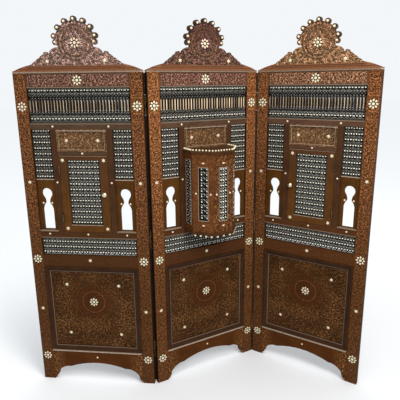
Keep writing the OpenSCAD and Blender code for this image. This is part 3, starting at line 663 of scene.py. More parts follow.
def pearl_finish(colours):
    """Shell: pale, layered, with a faint play of green and rose."""
    f = Finish("pearl shell", None, Coat_Roughness=0.1)
    layers = f.noise(f.place, 0.25, 4.0)
    warm = shade(colours.pearl, (1.0, 0.93, 0.80))
    cool = shade(colours.pearl, (0.92, 1.0, 1.02))
    rose = f.noise(f.place, 0.014, 1.0).rise(0.45, 0.65)
    top = blend(f, rose * 0.8, blend(f, layers.rise(0.35, 0.65), warm, cool),
                shade(colours.pearl, (1.0, 0.84, 0.9)))
    return f.finish(top, layers * 0.2 + 0.18, layers, 0.1, 0.5)


def metal_finish(name, base, dark_share, low, high):
    """Metal, darker in patches."""
    f = Finish(name, None, Metallic=1.0)
    tarnish = f.noise(f.place, 0.12, 4.0)
    top = blend(f, tarnish.rise(low, high), base, shade(base, dark_share))
    return f.finish(top, tarnish * 0.35 + 0.12, tarnish, 0.05)


def mastic_finish(colours):
    """The black mastic that the pearl is set in."""
    f = Finish("black mastic", None, Specular_IOR_Level=0.2)
    grit = f.noise(f.place, 0.8, 3.0)
    return f.finish(blend(f, grit, shade(colours.ebony, 0.6), shade(colours.ebony, 2.2)),
                    grit * 0.2 + 0.5, grit, 0.1)


def edge_finish(colours):
    """Pale wood of the edge beads, darker where hands don't reach."""
    f = Finish("pale edge wood", None, **WOOD)
    tone = f.noise(f.place, 0.2, 4.0)
    top = blend(f, tone.rise(0.3, 0.7), shade(colours.edge, 0.45), colours.edge)
    return f.finish(top, tone * 0.3 + 0.35, tone, 0.1)


# ---- modelling helpers ----


def pick(*pieces):
    """Selects these pieces and nothing else, in object mode, the first of them active."""
    if bpy.context.mode != "OBJECT":
        bpy.ops.object.mode_set(mode="OBJECT")
    bpy.ops.object.select_all(action="DESELECT")
    for piece in pieces:
        piece.select_set(True)
    if pieces:
        bpy.context.view_layer.objects.active = pieces[0]


def name_piece(name):
    """Names the active piece, such as a primitive that was just added."""
    piece = bpy.context.object
    piece.name = piece.data.name = name
    return piece


def edit_all():
    """Edit mode on the active piece, with all of it selected."""
    bpy.ops.object.mode_set(mode="EDIT")
    bpy.ops.mesh.select_all(action="SELECT")


def raise_up(height):
    """Draws the selected faces out along Z."""
    bpy.ops.mesh.extrude_region_move(TRANSFORM_OT_translate={"value": (0, 0, height)})


def close_up():
    """Normals outward, and back to object mode."""
    bpy.ops.mesh.select_all(action="SELECT")
    bpy.ops.mesh.normals_make_consistent(inside=False)
    bpy.ops.object.mode_set(mode="OBJECT")


def turned(name, outline, sides):
    """A piece turned on a lathe: a disc that is drawn up along Z through (height, radius) in mm."""
    pick()
    foot, radius = outline[0]
    bpy.ops.mesh.primitive_circle_add(
        vertices=sides, radius=radius * MM, fill_type="NGON", location=(0, 0, foot * MM))
    bpy.ops.object.transform_apply(location=True)
    piece = name_piece(name)
    edit_all()
    for height, wide in outline[1:]:
        raise_up((height - foot) * MM)
        bpy.ops.transform.resize(value=(wide / radius, wide / radius, 1),
                                 center_override=(0, 0, height * MM))
        foot, radius = height, wide
    close_up()
    return piece


def smooth(piece, degrees=60):
    """Smooth shading that keeps the sharp edges."""
    pick(piece)
    bpy.ops.object.shade_smooth_by_angle(angle=math.radians(degrees))
    return piece


def put_copy(piece, place, name):
    """A copy with its own mesh, moved by a matrix."""
    copy = piece.copy()
    copy.data = piece.data.copy()
    copy.name = copy.data.name = name
    bpy.context.scene.collection.objects.link(copy)
    copy.data.transform(place)
    return copy


def joined(pieces, name):
    """Several pieces as one."""
    pick(*pieces)
    if len(pieces) > 1:
        bpy.ops.object.join()
    return name_piece(name)


def stamp(pattern, places, name):
    """Copies of a pattern piece at the given matrices, joined into one piece at the origin."""
    return joined([put_copy(pattern, place, name) for place in places], name)


def drop(*pieces):
    """Removes pattern pieces once their copies are made."""
    for piece in pieces:
        bpy.data.objects.remove(piece)


def wear(node, material):
    """Puts a finish on a CAD node."""
    mesh = frame["nodes"][node].data
    mesh.materials.clear()
    mesh.materials.append(material)


def settle(piece, body, finish, node=None):
    """Gives a piece its finish, its body and its slot, and says which CAD node it replaces."""
    piece.data.materials.clear()
    piece.data.materials.append(bpy.data.materials[finish])
    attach(piece, body)
    if node is not None:
        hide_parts(node)


# ---- turned lattices ----


def spread(low, high, count):
    """Evenly spaced places from low to high."""
    return [low + (high - low) * i / (count - 1) for i in range(count)]


def link_place(a, b, depth, trim, length):
    """Lays a pattern of that length between two places on the face, trimmed at both ends."""
    across, up = b[0] - a[0], b[1] - a[1]
    room = math.hypot(across, up) - 2 * trim
    return (shift((a[0] + b[0]) / 2, depth, (a[1] + b[1]) / 2)
            @ Matrix.Rotation(math.atan2(across, up), 4, "Y")
            @ Matrix.Diagonal((1, 1, room / length, 1)))


class Lattice:
    """Places of the turned pieces in one opening, in millimetres: a list for each pattern.

    xs and zs are its upright and level rows, low and high its foot and its head. The slanting
    links cross between neighbouring level rows, or between the pairs of rows given as slanted.
    """

    def __init__(self, xs, zs, low, high, depth, slanted=None):
        seat = 0.85 * BALL_R
        self.balls = [shift(x, depth, z) for x in xs for z in zs]
        self.bobbins = [link_place((a, z), (b, z), depth, seat, BOBBIN_L)
                        for a, b in zip(xs, xs[1:]) for z in zs]
        # A post stands in each upright gap that has room for one and isn't a tall spindle's
        gaps = [(low - seat, zs[0])] + list(zip(zs, zs[1:])) + [(zs[-1], high + seat)]
        self.posts = [link_place((x, a), (x, b), depth, seat, BOBBIN_L)
                      for x in xs for a, b in gaps if 4 < b - a - 2 * seat < 2.5 * BOBBIN_L]
        # Further level links, 7 mm apart, fill the room under the lowest row and over the highest
        for edge, way, gap in ((low, 1, zs[0] - low), (high, -1, high - zs[-1])):
            for k in range(int((gap - BALL_R) / 6.5)):
                z = edge + way * (9.5 + 7 * k)
                self.posts += [link_place((a, z), (b, z), depth, 0, BOBBIN_L)
                               for a, b in zip(xs, xs[1:])]
        # A rod down each upright row, and four round the opening
        left, right = xs[0] - LATTICE_IN + 3, xs[-1] + LATTICE_IN - 3
        corners = [(left, low + 3), (right, low + 3), (right, high - 3), (left, high - 3)]
        rods = [((x, low), (x, high)) for x in xs] + list(zip(corners, corners[1:] + corners[:1]))
        self.rods = [link_place(a, b, depth, 0, BOBBIN_L) for a, b in rods]
        self.slants = []
        self.studs = []
        for z0, z1 in slanted or list(zip(zs, zs[1:])):
            for a, b in zip(xs, xs[1:]):
                for ends in (((a, z0), (b, z1)), ((a, z1), (b, z0))):
                    self.slants.append(link_place(*ends, depth, 0.93 * BALL_R, SLANT_L))
                self.studs.append(shift((a + b) / 2, depth, (z0 + z1) / 2))
        self.vases = []


def facet_place(i):
    """Carries a facet's own coordinates, outside at y = 0 and middle at x = 0, to the frame's."""
    a, b = Vector(BAY_PLAN[i]), Vector(BAY_PLAN[i + 1])
    middle = (a + b) / 2
    way = b - a
    return shift(middle.x, middle.y, 0) @ Matrix.Rotation(math.atan2(way.y, way.x), 4, "Z")


def facet_window(i):
    """The heights of a facet's window."""
    below, above, _ = FACETS[i]
    return BAY_Z[0] + below, BAY_Z[1] - above


def side_lattices():
    """Both lattices beside the door."""
    low, high = SIDE_LATTICE_Z, MIDDLE_Z[1]
    zs = spread(low + LATTICE_IN, high - LATTICE_IN, 9)
    xs = spread(STILE_W + LATTICE_IN, MUNTIN_X - LATTICE_IN, 4)
    return [Lattice(xs, zs, low, high, DEPTH_MID),
            Lattice([FRAME_W - x for x in reversed(xs)], zs, low, high, DEPTH_MID)]


def lower_lattice():
    """Three rows of beads above the lock rail."""
    low, high = LOW_LATTICE_Z
    xs = spread(STILE_W + LATTICE_IN, FRAME_W - STILE_W - LATTICE_IN, 18)
    return [Lattice(xs, spread(low + 14, high - 24, 3), low, high, DEPTH_MID)]


def upper_lattice():
    """Two rows of beads below and above a row of tall spindles, with rods across their necks."""
    low, high = UP_LATTICE_Z
    below, above = (low + 18.5, low + 44), (high - 40.5, high - 15)
    xs = spread(STILE_W + LATTICE_IN, FRAME_W - STILE_W - LATTICE_IN, 17)
    lattice = Lattice(xs, [*below, *above], low, high, DEPTH_MID, [below, above])
    stand = [(x, 0.9 * BALL_R) for x in xs] + [((a + b) / 2, 5) for a, b in zip(xs, xs[1:])]
    lattice.vases = [link_place((x, below[1]), (x, above[0]), DEPTH_MID, trim, VASE_L)
                     for x, trim in stand]
    left, right = STILE_W + 3, FRAME_W - STILE_W - 3
    lattice.rods += [link_place((left, z), (right, z), DEPTH_MID, 0, BOBBIN_L)
                     for z in (below[1] + 10, above[0] - 10)]
    return [lattice]


def door_lattice():
    """Twelve rows of beads in the door's window."""
    low, high = WINDOW_Z
    xs = spread(WINDOW_X[0] + LATTICE_IN, WINDOW_X[1] - LATTICE_IN, 6)
    return [Lattice(xs, spread(low + LATTICE_IN, high - LATTICE_IN, 12), low, high, DOOR_DEPTH)]


def facet_lattice(i):
    """Two upright rows of beads in a facet's window."""
    low, high = facet_window(i)
    xs = [LATTICE_IN - HALF_WINDOW, HALF_WINDOW - LATTICE_IN]
    zs = spread(low + LATTICE_IN, high - LATTICE_IN, FACETS[i][2])
    return [Lattice(xs, zs, low, high, FACET_T / 2)]


def turned_patterns():
    """One of each turned shape, from its outline and its number of sides."""
    r = BALL_R
    shapes = {
        "balls": (12, [(-0.97 * r, 0.36 * r), (-0.80 * r, 0.62 * r), (-0.45 * r, 0.92 * r), (0, r),
                       (0.45 * r, 0.92 * r), (0.80 * r, 0.62 * r), (0.97 * r, 0.36 * r)]),
        "bobbins": (10, [(-6, 3.8), (-5.4, 5.4), (-4.9, 4.9), (-4.0, 6.9), (4.0, 6.9), (4.9, 4.9),
                         (5.4, 5.4), (6, 3.8)]),
        "posts": (10, [(-6, 3.8), (-4.9, 5.3), (-4.0, 4.6), (-1.8, 5.9), (1.8, 5.9), (4.0, 4.6),
                       (4.9, 5.3), (6, 3.8)]),
        "slants": (6, [(-10, 3.0), (-7.5, 4.4), (-5, 3.5), (5, 3.5), (7.5, 4.4), (10, 3.0)]),
        "studs": (10, [(-5.6, 2.6), (-4.2, 4.8), (0, 6.3), (4.2, 4.8), (5.6, 2.6)]),
        "vases": (12, [(-30, 3.8), (-27.5, 6.6), (-25, 5.6), (-20, 7.0), (-4, 7.1), (12, 6.9),
                       (21, 6.4), (24, 7.0), (27, 5.6), (30, 3.8)]),
        "rods": (8, [(-6, 3.0), (6, 3.0)]),
    }
    return {kind: smooth(turned(kind, outline, sides)) for kind, (sides, outline) in shapes.items()}


def turn_lattices(patterns, lattices, name):
    """The lattices' beads and links as one piece, in a frame's own coordinates."""
    parts = []
    for kind, pattern in patterns.items():
        places = [place for lattice in lattices for place in getattr(lattice, kind)]
        if places:
            parts.append(stamp(pattern, places, kind + "_copies"))
    return joined(parts, name)


class SCREEN_OT_lattices(bpy.types.Operator):
    """Turns the beads, bobbins and spindles of every lattice"""

    bl_idname = "screen.lattices"
    bl_label = "Turned lattices"

    def execute(self, context):
        patterns = turned_patterns()
        makers = {"upper_lattice": upper_lattice, "side_lattices": side_lattices,
                  "lower_lattice": lower_lattice}
        for part, maker in makers.items():
            own = turn_lattices(patterns, maker(), part + "_pattern")
            wood = "ebonised turned wood " + ("tall " if part == "upper_lattice" else "")
            for name in FRAMES:
                piece = put_copy(own, PLACE[name], f"{name}_turned_{part}")
                settle(piece, BODY[name], wood + name, f"{name}_{part}")
            drop(own)
        own = turn_lattices(patterns, door_lattice(), "door_lattice_pattern")
        for name in DOORS:
            piece = put_copy(own, PLACE[name], name + "_door_turned_lattice")
            settle(piece, name + "_door", "ebonised turned wood door " + name,
                   name + "_door_lattice")
        drop(own)
        facets = []
        for i in range(len(FACETS)):
            own = turn_lattices(patterns, facet_lattice(i), "facet")
            own.data.transform(PLACE["centre"] @ facet_place(i))
            facets.append(own)
        bay = joined(facets, "bay_turned_lattices")
        settle(bay, BODY["centre"], "ebonised turned wood bay", "bay_lattices")
        drop(*patterns.values())
        return {"FINISHED"}


# ---- inlay ----


def islands(node):
    """The corners of each separate solid in a CAD node."""
    copy = put_copy(frame["nodes"][node], Matrix.Identity(4), "islands")
    copy.parent = None
    pick(copy)
    edit_all()
    bpy.ops.mesh.remove_doubles(threshold=1e-6)
    bpy.ops.mesh.separate(type="LOOSE")
    bpy.ops.object.mode_set(mode="OBJECT")
    found = []
    for part in list(bpy.context.selected_objects):
        found.append([v.co.copy() for v in part.data.vertices])
        bpy.data.objects.remove(part)
    return found


def own_box(corners, place):
    """The middle and the size of a solid in a frame's own coordinates, and where its back lies."""
    inverse = place.inverted()
    own = [inverse @ corner for corner in corners]
    low = Vector([min(c[i] for c in own) for i in range(3)]) / MM
    high = Vector([max(c[i] for c in own) for i in range(3)]) / MM
    return (low + high) / 2, high - low, high.y


def domed(name, radius, height, vertices, squeeze=1.0):
    """A piece of shell with a bevelled rim and a low dome, squeezed to a petal if asked."""
    pick()
    bpy.ops.mesh.primitive_circle_add(vertices=vertices, radius=radius, fill_type="NGON")
    piece = name_piece(name)
    edit_all()
    bpy.ops.transform.resize(value=(squeeze, 1.0, 1.0))
    raise_up(height * 0.55)
    bpy.ops.mesh.inset(thickness=radius * 0.22 * squeeze, depth=height * 0.3)
    bpy.ops.mesh.inset(thickness=radius * 0.3 * squeeze, depth=height * 0.15)
    close_up()
    return piece


def star_pattern(radius, height, points):
    """A star of shell: every other corner of a disc is drawn in, and it is raised and bevelled."""
    pick()
    bpy.ops.mesh.primitive_circle_add(vertices=2 * points, radius=radius, fill_type="NGON")
    piece = name_piece("star")
    bpy.ops.object.mode_set(mode="EDIT")
    bpy.ops.mesh.select_mode(type="VERT")
    bpy.ops.mesh.select_all(action="DESELECT")
    bpy.ops.object.mode_set(mode="OBJECT")
    for vertex in piece.data.vertices:
        vertex.select = vertex.index % 2 == 1
    bpy.ops.object.mode_set(mode="EDIT")
    bpy.ops.transform.resize(value=(0.5, 0.5, 1), center_override=(0, 0, 0))
    bpy.ops.mesh.select_mode(type="FACE")
    bpy.ops.mesh.select_all(action="SELECT")
    raise_up(height * 0.6)
    bpy.ops.mesh.inset(thickness=radius * 0.12, depth=height * 0.4)
    close_up()
    return piece


def petal_places(middle, radius, count):
    """Places of the petals round a rosette's middle, which lies in the XY plane."""
    return [middle @ Matrix.Rotation(2 * math.pi * i / count, 4, "Z")
            @ Matrix.Translation((0, radius, 0)) for i in range(count)]


class SCREEN_OT_inlay(bpy.types.Operator):
    """Lays rosettes, stars, dots and beads of pearl where the frames and doors carry them"""

    bl_idname = "screen.inlay"
    bl_label = "Pearl inlay"

    def execute(self, context):
        sizes = context.scene.screen_sizes
        self.patterns = {
            "petals": domed("petal", sizes.rosette * 0.25, sizes.inlay, 10, 0.80),
            "hearts": domed("heart", sizes.rosette * 0.30, sizes.inlay, 16),
            "seats": domed("seat", sizes.rosette * 0.93, sizes.inlay * 0.35, 24),
            "stars": star_pattern(sizes.star, sizes.inlay, 6),
            "lozenges": domed("lozenge", sizes.star * 0.85, sizes.inlay, 4, 0.5),
            "dots": domed("dot", sizes.dot, sizes.inlay, 14),
            "beads": turned("bead", [(0, 5.0), (1.5, 6.6), (4, 7.5), (7, 7.4), (10, 5.8),
                                     (12.2, 3.2), (13, 0.9)], 16),
        }
        # The bead is drawn for a radius of 7.6 mm and brought to its own
        self.patterns["beads"].data.transform(Matrix.Scale(sizes.crest_bead / (7.6 * MM), 4))
        for name in FRAMES:
            self.lay(name + "_pearl", name, BODY[name], sizes)
        for name in DOORS:
            self.lay(name + "_door_pearl", name, name + "_door", sizes)
        self.lay_bay()
        self.lay_fringe()
        drop(*self.patterns.values())
        return {"FINISHED"}

    def lay(self, node, name, body, sizes):
        """Puts the right shape of shell on each seat of one CAD node, told by the seat's size."""
        places = {kind: [] for kind in self.patterns}
        for corners in islands(node):
            middle, extent, back = own_box(corners, PLACE[name])
            at = PLACE[name] @ shift(middle.x, back, middle.z) @ UPRIGHT
            # A bead's seat is deep, a rosette's and a star's are wide, and a dot's is neither
            if extent.y > 4:
                places["beads"].append(at)
            elif extent.x > 30:
                places["petals"] += petal_places(at, sizes.rosette * 0.73, 8)
                places["hearts"].append(at)
                places["seats"].append(at)
            elif extent.x > 15:
                places["stars"].append(at)
            else:
                places["dots"].append(at)
        seats = places.pop("seats")
        shell = [stamp(self.patterns[kind], spots, kind + "_copies")
                 for kind, spots in places.items() if spots]
        settle(joined(shell, node + "_shell"), body, "pearl shell", node)
        if seats:
            mastic = stamp(self.patterns["seats"], seats, node + "_mastic")
            settle(mastic, body, "black mastic")

    def lay_bay(self):
        """A lozenge above and below each front window, and a dot on each side."""
        on_side = UPRIGHT @ Matrix.Rotation(math.pi / 2, 4, "Z")
        lozenges = []
        dots = []
        for i in (1, 2, 3):
            facet = PLACE["centre"] @ facet_place(i)
            for z in (BAY_Z[0] + 36, BAY_Z[1] - 46):
                lozenges.append(facet @ shift(0, 0, z) @ on_side)
            for x in (-HALF_WINDOW - 13, HALF_WINDOW + 13):
                dots.append(facet @ shift(x, 0, (BAY_Z[0] + BAY_Z[1]) / 2) @ UPRIGHT)
        piece = joined([stamp(self.patterns["lozenges"], lozenges, "bay_lozenges"),
                        stamp(self.patterns["dots"], dots, "bay_dots")], "bay_pearl_shell")
        settle(piece, BODY["centre"], "pearl shell", "bay_pearl")

    def lay_fringe(self):
        """The small beads along the bay's boards, larger below it than above."""
        seed = turned("seed", [(-4.1, 1.7), (-3.0, 3.7), (0, 4.6), (3.0, 3.7), (4.1, 1.7)], 10)
        places = []
        for corners in islands("bay_beads"):
            middle = own_box(corners, Matrix.Identity(4))[0]
            size = FRINGE_SIZE if middle.z < BAY_Z[0] + 40 else 1.0
            places.append(shift(*middle) @ Matrix.Scale(size, 4))
        seeds = smooth(stamp(seed, places, "bay_seeds"))
        settle(seeds, BODY["centre"], "pearl shell", "bay_beads")
        drop(seed)


# ---- edge beads and rings ----


def bead_strip(place, x0, x1, z0, z1, face, out):
    """A small half-round strip on a face, from corner to corner, that stands out of it."""
    pick()
    bpy.ops.mesh.primitive_cube_add(
        size=1, location=((x0 + x1) / 2 * MM, (face - out / 2) * MM, (z0 + z1) / 2 * MM),
        scale=((x1 - x0) * MM, out * MM, (z1 - z0) * MM))
    bpy.ops.object.transform_apply(location=True, scale=True)
    strip = name_piece("strip")
    edit_all()
    bpy.ops.mesh.bevel(offset=0.32 * min(out, x1 - x0, z1 - z0) * MM, segments=2)
    close_up()
    strip.data.transform(place)
    return strip


def frame_strips(wide):
    """The strips on a frame: their sides, foot and head, face, and how far they stand out."""
    ends = (DOOR_X + 9, FRAME_W - DOOR_X - 9)
    foot, head = FRIEZE_Z + 9, MIDDLE_Z[1] - 8
    strips = [(DOOR_X + 2, FRAME_W - DOOR_X - 2, head, head + wide, FRIEZE_IN, 1.2),
              (STILE_W + 3, FRAME_W - STILE_W - 3, PANEL_Z[0] - wide * 2.4, PANEL_Z[0], 0, 4.0),
              (*ends, foot, foot + wide * 0.4, FRIEZE_IN, 1.2)]
    strips += [(x - wide * 0.2, x + wide * 0.2, foot, head, FRIEZE_IN, 1.2) for x in ends]
    for x in (STILE_W, FRAME_W - MUNTIN_X):
        board, ledge = SIDE_LATTICE_Z - 1, MIDDLE_Z[0] + 8
        strips += [(x + 2, x + SIDE_W - 2, board - wide, board, BOARD_IN, 2.0),
                   (x + 10, x + SIDE_W - 10, ledge, ledge + wide * 0.6, 0, 1.2)]
    return strips


def door_strips(wide):
    """The strips at the foot of a door's window and along the door's head."""
    foot, head = WINDOW_Z[0], DOOR_TOP - 4
    return [(*WINDOW_X, foot - wide / 2, foot + wide / 2, 0, 1.6),
            (DOOR_X + 3, FRAME_W - DOOR_X - 3, head, head + wide * 0.4, 0, 1.0)]


def facet_strips(i, wide):
    """The strips round a facet's window."""
    window = facet_window(i)
    sides = (-HALF_WINDOW, HALF_WINDOW)
    return ([(*sides, z - wide / 2, z + wide / 2, 0, 1.6) for z in window]
            + [(x - 1, x + 1, *window, 0, 1.2) for x in sides])


def lay_strips(strips, name, body):
    """Strips of pale wood as one piece. Each is given with the place that it lies in."""
    piece = joined([bead_strip(place, *strip) for place, strip in strips], name)
    settle(piece, body, "pale edge wood")


def ring(radius, x, depth, z):
    """A raised ring on a face: a round section, half sunk, spun about the ring's own middle."""
    pick()
    bpy.ops.mesh.primitive_circle_add(vertices=8, radius=RING_T * MM, location=(radius * MM, 0, 0),
                                      rotation=(math.pi / 2, 0, 0))
    bpy.ops.object.transform_apply(location=True, rotation=True)
    piece = name_piece("ring")
    edit_all()
    bpy.ops.mesh.spin(steps=64, angle=2 * math.pi, center=(0, 0, 0), axis=(0, 0, 1))
    bpy.ops.mesh.select_all(action="SELECT")
    bpy.ops.mesh.remove_doubles(threshold=1e-6)
    close_up()
    piece.data.transform(shift(x, depth, z) @ UPRIGHT)
    return piece


class SCREEN_OT_edges(bpy.types.Operator):
    """Lays the fine pale beads along the openings, and the rings round the large rosettes"""

    bl_idname = "screen.edges"
    bl_label = "Edge beads and rings"

    def execute(self, context):
        wide = context.scene.screen_sizes.edge_bead / MM
        for name in FRAMES:
            lay_strips([(PLACE[name], strip) for strip in frame_strips(wide)],
                       name + "_edge_beads", BODY[name])
            rings = [ring(radius, MEDALLION[0], BOARD_IN, MEDALLION[1])
                     for radius in MEDALLION_RINGS[1:]]
            rings += [ring(radius, MID, CREST_IN, CREST_ROSETTE) for radius in CREST_RINGS]
            piece = joined(rings, name + "_carved_rings")
            piece.data.transform(PLACE[name])
            smooth(piece)
            settle(piece, BODY[name], "worn ring wood " + name)
        for name in DOORS:
            lay_strips([(PLACE[name], strip) for strip in door_strips(wide)],
                       name + "_door_edge_beads", name + "_door")
        lay_strips([(PLACE["centre"] @ facet_place(i), strip)
                    for i in range(len(FACETS)) for strip in facet_strips(i, wide)],
                   "bay_edge_beads", BODY["centre"])
        return {"FINISHED"}


# ---- fold beads, black as painted shade ----


def bead_outline(low, high):
    """The outline of beads about 60 mm long, one above the other, with a groove between them."""
    count = max(1, round((high - low) / 60))
    step = (high - low) / count
    outline = []
    for i in range(count):
        foot = low + i * step
        outline += [(foot, 3.2), (foot + 1.5, 3.9), (foot + step - 1.5, 3.9)]
    return outline + [(high, 3.2)]


class SCREEN_OT_folds(bpy.types.Operator):
    """Lays slim black turned beads along each fold between its hinges, as painted shade that closes
    the gap to the light
    """

    bl_idname = "screen.folds"
    bl_label = "Fold beads"

    def execute(self, context):
        # They stand between the floor, the hinges and the stiles' tops
        bounds = [6] + [z for hinge in HINGE_Z for z in hinge] + [STILE_TOP - 2]
        for name in FOLD:
            beads = [turned("bead", bead_outline(low + 1, high - 1), 12)
                     for low, high in zip(bounds[0::2], bounds[1::2])]
            piece = joined(beads, name + "_fold_bead")
            piece.data.transform(fold_pin(name))
            smooth(piece, 50)
            # The beads' black stands in for the shade in the fold's gap: painted shade
            settle(piece, BODY["centre"], "black mastic")
        return {"FINISHED"}


# ---- finishes on the frames ----

# The outer frames' stiles are darker and their crests paler, and the right frame is more golden:
# these shares and tints are partly the frames' own tone and partly painted light and shade for
# the unequal light on the three turned frames. RAIL_TINT and CREST_TINT colour the wood,
# RIDGE_TINT the ridges on the rails, and HEAD_SHARE says how far a crest turns into its second
# colour.
STILE_SHARE = {"left": 0.66, "centre": 0.95, "right": 0.74}
RAIL_TINT = {"left": (0.85, 0.9, 0.85), "centre": (0.9, 0.9, 0.9), "right": (1.05, 0.97, 0.95)}
RIDGE_TINT = {"left": (0.9, 0.95, 0.95), "centre": (0.9, 0.9, 0.9), "right": (1.2, 1.3, 0.95)}
CREST_TINT = {"left": (1.75, 2.3, 2.7), "centre": (0.9, 0.95, 0.95), "right": (1.8, 2.05, 1.5)}
HEAD_SHARE = {"left": 0.1, "centre": 0.5, "right": 0.2}


def frame_finishes(name, colours, depth):
    """A finish for each wooden part of a frame."""
    place = PLACE[name]
    ebony = ebony_finish(name, place, colours, DEPTH_MID)
    return {
        "stiles": stile_finish(name, place, colours, depth, STILE_SHARE[name]),
        "rails": scroll_finish(
            "carved rail " + name, place, shade(colours.rail, RAIL_TINT[name]),
            shade(shade(colours.worn, RIDGE_TINT[name]), (0.95, 0.98, 2.1)), 16.0, 5.8, depth,
            field=rail_fields, edges=rail_edges, pale=colours.edge, wear_and_glint_amount=0.95,
            fade=RAIL_FADE),
        "muntins": plain_finish("dark wood " + name, place, colours.dark, "z"),
        "apron": scroll_finish(
            "carved apron " + name, place, shade(colours.rail, (0.9, 0.5, 0.09)), colours.worn,
            15.0, 5.6, depth, field=apron_field, wear_and_glint_amount=0.8),
        "crest": crest_finish(name, place, colours, depth, CREST_TINT[name], HEAD_SHARE[name]),
        "upper_lattice": ebony_finish("tall " + name, place, colours, DEPTH_MID, BELLY_Z),
        "side_lattices": ebony,
        "lower_lattice": ebony,
        "keyhole_boards": plain_finish(
            "keyhole board " + name, place, shade(colours.panel, (1.35, 1.4, 1.1)), "z",
            board_edges, colours.edge),
        "frieze_panel": scroll_finish(
            "carved frieze " + name, place, shade(colours.rail, (1.6, 1.5, 1.0)),
            shade(colours.worn, (0.9, 1.15, 1.7)), 13.0, 5.2, 1.0,
            edges=frieze_edges, pale=colours.edge, wear_and_glint_amount=0.75),
        "lower_panel": panel_finish(name, place, colours),
        "panel_moulding": plain_finish(
            "moulding " + name, place, shade(colours.dark, 0.7), "x",
            moulding_edges, shade(colours.edge, 0.6)),
    }


class SCREEN_OT_finishes(bpy.types.Operator):
    """Stains and polishes every wooden, pearl and metal piece of the screen"""

    bl_idname = "screen.finishes"
    bl_label = "Finishes"

    def execute(self, context):
        colours = context.scene.screen_colours
        depth = context.scene.screen_sizes.carving / MM
        pearl = pearl_finish(colours)
        brass = metal_finish("aged brass", colours.brass, 0.35, 0.4, 0.65)
        knob = metal_finish("polished knob", colours.knob, 0.6, 0.5, 0.8)
        mastic_finish(colours)
        edge_finish(colours)
        for name in FRAMES:
            for part, material in frame_finishes(name, colours, depth).items():
                wear(f"{name}_{part}", material)
            wear(name + "_pearl", pearl)
            wear(name + "_hinge_plates", brass)
            # The raised rings' wood, paler than the panel's: partly wear, partly a painted
            # highlight
            plain_finish("worn ring wood " + name, PLACE[name], shade(colours.panel, 1.5))
        for name in DOORS:
            door = name + "_door_"
            wear(door + "frame", plain_finish("door " + name, PLACE[name], colours.door, "z",
                                              door_head, shade(colours.dark, 1.3)))
            wear(door + "lattice", ebony_finish("door " + name, PLACE[name], colours, DOOR_DEPTH))
            wear(door + "knob", knob)
            wear(door + "pearl", pearl)
            wear(door + "hinge_plates", brass)
        wear("fold_hinge_pins", brass)
        wear("bay_boards", bpy.data.materials["dark wood centre"])
        wear("bay_facets", scroll_finish("bay wood", PLACE["centre"], shade(colours.stile, 0.7),
                                         colours.worn, 13.0, 5.0, 0.8, wear_and_glint_amount=0.6))
        # The bay's leftmost beads take a painted highlight on their left
        wear("bay_lattices", ebony_finish("bay", PLACE["centre"], colours, side=BAY_LEFT + FACET_T))
        wear("bay_beads", pearl)
        wear("bay_pearl", pearl)
        return {"FINISHED"}


# ---- stage ----

# The spot on the floor that the lights fall on most, and how far from it the floor's tone rises
# to its full colour, in millimetres
LIT_SPOT = (300, -2000)
FLOOR_FADE = (1200, 4600)
# The softboxes: where they hang and what they look at, their size in metres and their power
LIGHTS = {
    "key": ((0.0, -2.9, 2.9), (0.1, 0, 1.0), 1.2, 0.9, 52),
    "top": ((0.0, -1.4, 4.2), (0.1, 0, 0.8), 2.4, 1.0, 48),
    "side": ((-0.1, -1.5, 2.5), (0.5, -0.3, 1.5), 0.8, 0.8, 15),
}
# The camera as fitted to the photograph: its place, its yaw, pitch and roll in degrees, its lens
CAMERA_PLACE = (-1.0411, -1.8488, 1.5369)
CAMERA_TURN = (29.847, -14.409, -0.599)
CAMERA_LENS = 40.92
SENSOR_W = 36.0


def floor_finish(colours):
    """The studio floor, toned down where the lights fall on it, so that it looks even."""
    f = Finish("studio floor", Specular_IOR_Level=0.0)
    away = distance(f.x - LIT_SPOT[0], f.y - LIT_SPOT[1])
    tone = blend(f, away.rise(*FLOOR_FADE), shade(colours.floor, 0.70), colours.floor)
    return f.finish(tone, 0.9, None)


def softbox(scene, name, place, aim, width, height, power):
    """A rectangular area light."""
    lamp = bpy.data.lights.new(name, "AREA")
    lamp.shape = "RECTANGLE"
    lamp.size = width
    lamp.size_y = height
    lamp.energy = power
    holder = bpy.data.objects.new(name, lamp)
    holder.location = place
    holder.rotation_euler = (Vector(aim) - Vector(place)).to_track_quat("-Z", "Y").to_euler()
    scene.collection.objects.link(holder)


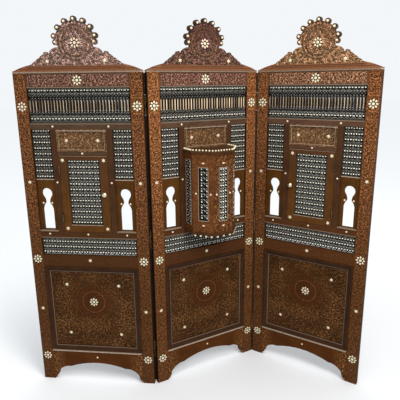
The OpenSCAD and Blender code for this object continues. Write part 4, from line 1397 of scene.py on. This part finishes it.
class SCREEN_OT_stage(bpy.types.Operator):
    """Sets the floor, the lights and the camera at the photograph's angle"""

    bl_idname = "screen.stage"
    bl_label = "Studio"

    def execute(self, context):
        scene = context.scene
        pick()
        bpy.ops.mesh.primitive_plane_add(size=60, location=(0, 0, 0))
        floor = name_piece("floor")
        floor.data.materials.append(floor_finish(scene.screen_colours))

        world = bpy.data.worlds.new("studio")
        world.use_nodes = True
        background = world.node_tree.nodes["Background"]
        background.inputs["Color"].default_value = (0.895, 0.925, 0.95, 1)
        background.inputs["Strength"].default_value = 1.0
        scene.world = world
        for name, light in LIGHTS.items():
            softbox(scene, name, *light)

        eye = bpy.data.cameras.new("photograph")
        eye.lens = CAMERA_LENS
        eye.sensor_width = SENSOR_W
        eye.clip_end = 100
        camera = bpy.data.objects.new("photograph", eye)
        yaw, pitch, roll = (math.radians(angle) for angle in CAMERA_TURN)
        camera.matrix_world = (
            Matrix.Translation(CAMERA_PLACE)
            @ Matrix.Rotation(-yaw, 4, "Z") @ Matrix.Rotation(math.pi / 2 + pitch, 4, "X")
            @ Matrix.Rotation(roll, 4, "Z"))
        scene.collection.objects.link(camera)
        scene.camera = camera
        scene.view_settings.view_transform = "Standard"
        return {"FINISHED"}


class SCREEN_PT_panel(bpy.types.Panel):
    """Everything that dresses the screen"""

    bl_label = "Folding screen"
    bl_idname = "SCREEN_PT_panel"
    bl_space_type = "VIEW_3D"
    bl_region_type = "UI"
    bl_category = "Screen"

    def draw(self, context):
        for group in (context.scene.screen_sizes, context.scene.screen_colours):
            for key in group.bl_rna.properties.keys():
                if key not in ("rna_type", "name"):
                    self.layout.prop(group, key)
        for operator in OPERATORS:
            self.layout.operator(operator.bl_idname)


OPERATORS = (SCREEN_OT_stage, SCREEN_OT_finishes, SCREEN_OT_lattices, SCREEN_OT_inlay,
             SCREEN_OT_edges, SCREEN_OT_folds)
CLASSES = (ScreenSizes, ScreenColours, *OPERATORS, SCREEN_PT_panel)


def register():
    for cls in CLASSES:
        bpy.utils.register_class(cls)
    bpy.types.Scene.screen_sizes = bpy.props.PointerProperty(type=ScreenSizes)
    bpy.types.Scene.screen_colours = bpy.props.PointerProperty(type=ScreenColours)


def unregister():
    del bpy.types.Scene.screen_colours
    del bpy.types.Scene.screen_sizes
    for cls in reversed(CLASSES):
        bpy.utils.unregister_class(cls)


def main():
    register()
    bpy.ops.screen.stage()
    bpy.ops.screen.finishes()
    bpy.ops.screen.lattices()
    bpy.ops.screen.inlay()
    bpy.ops.screen.edges()
    bpy.ops.screen.folds()


if __name__ == "__main__":
    main()
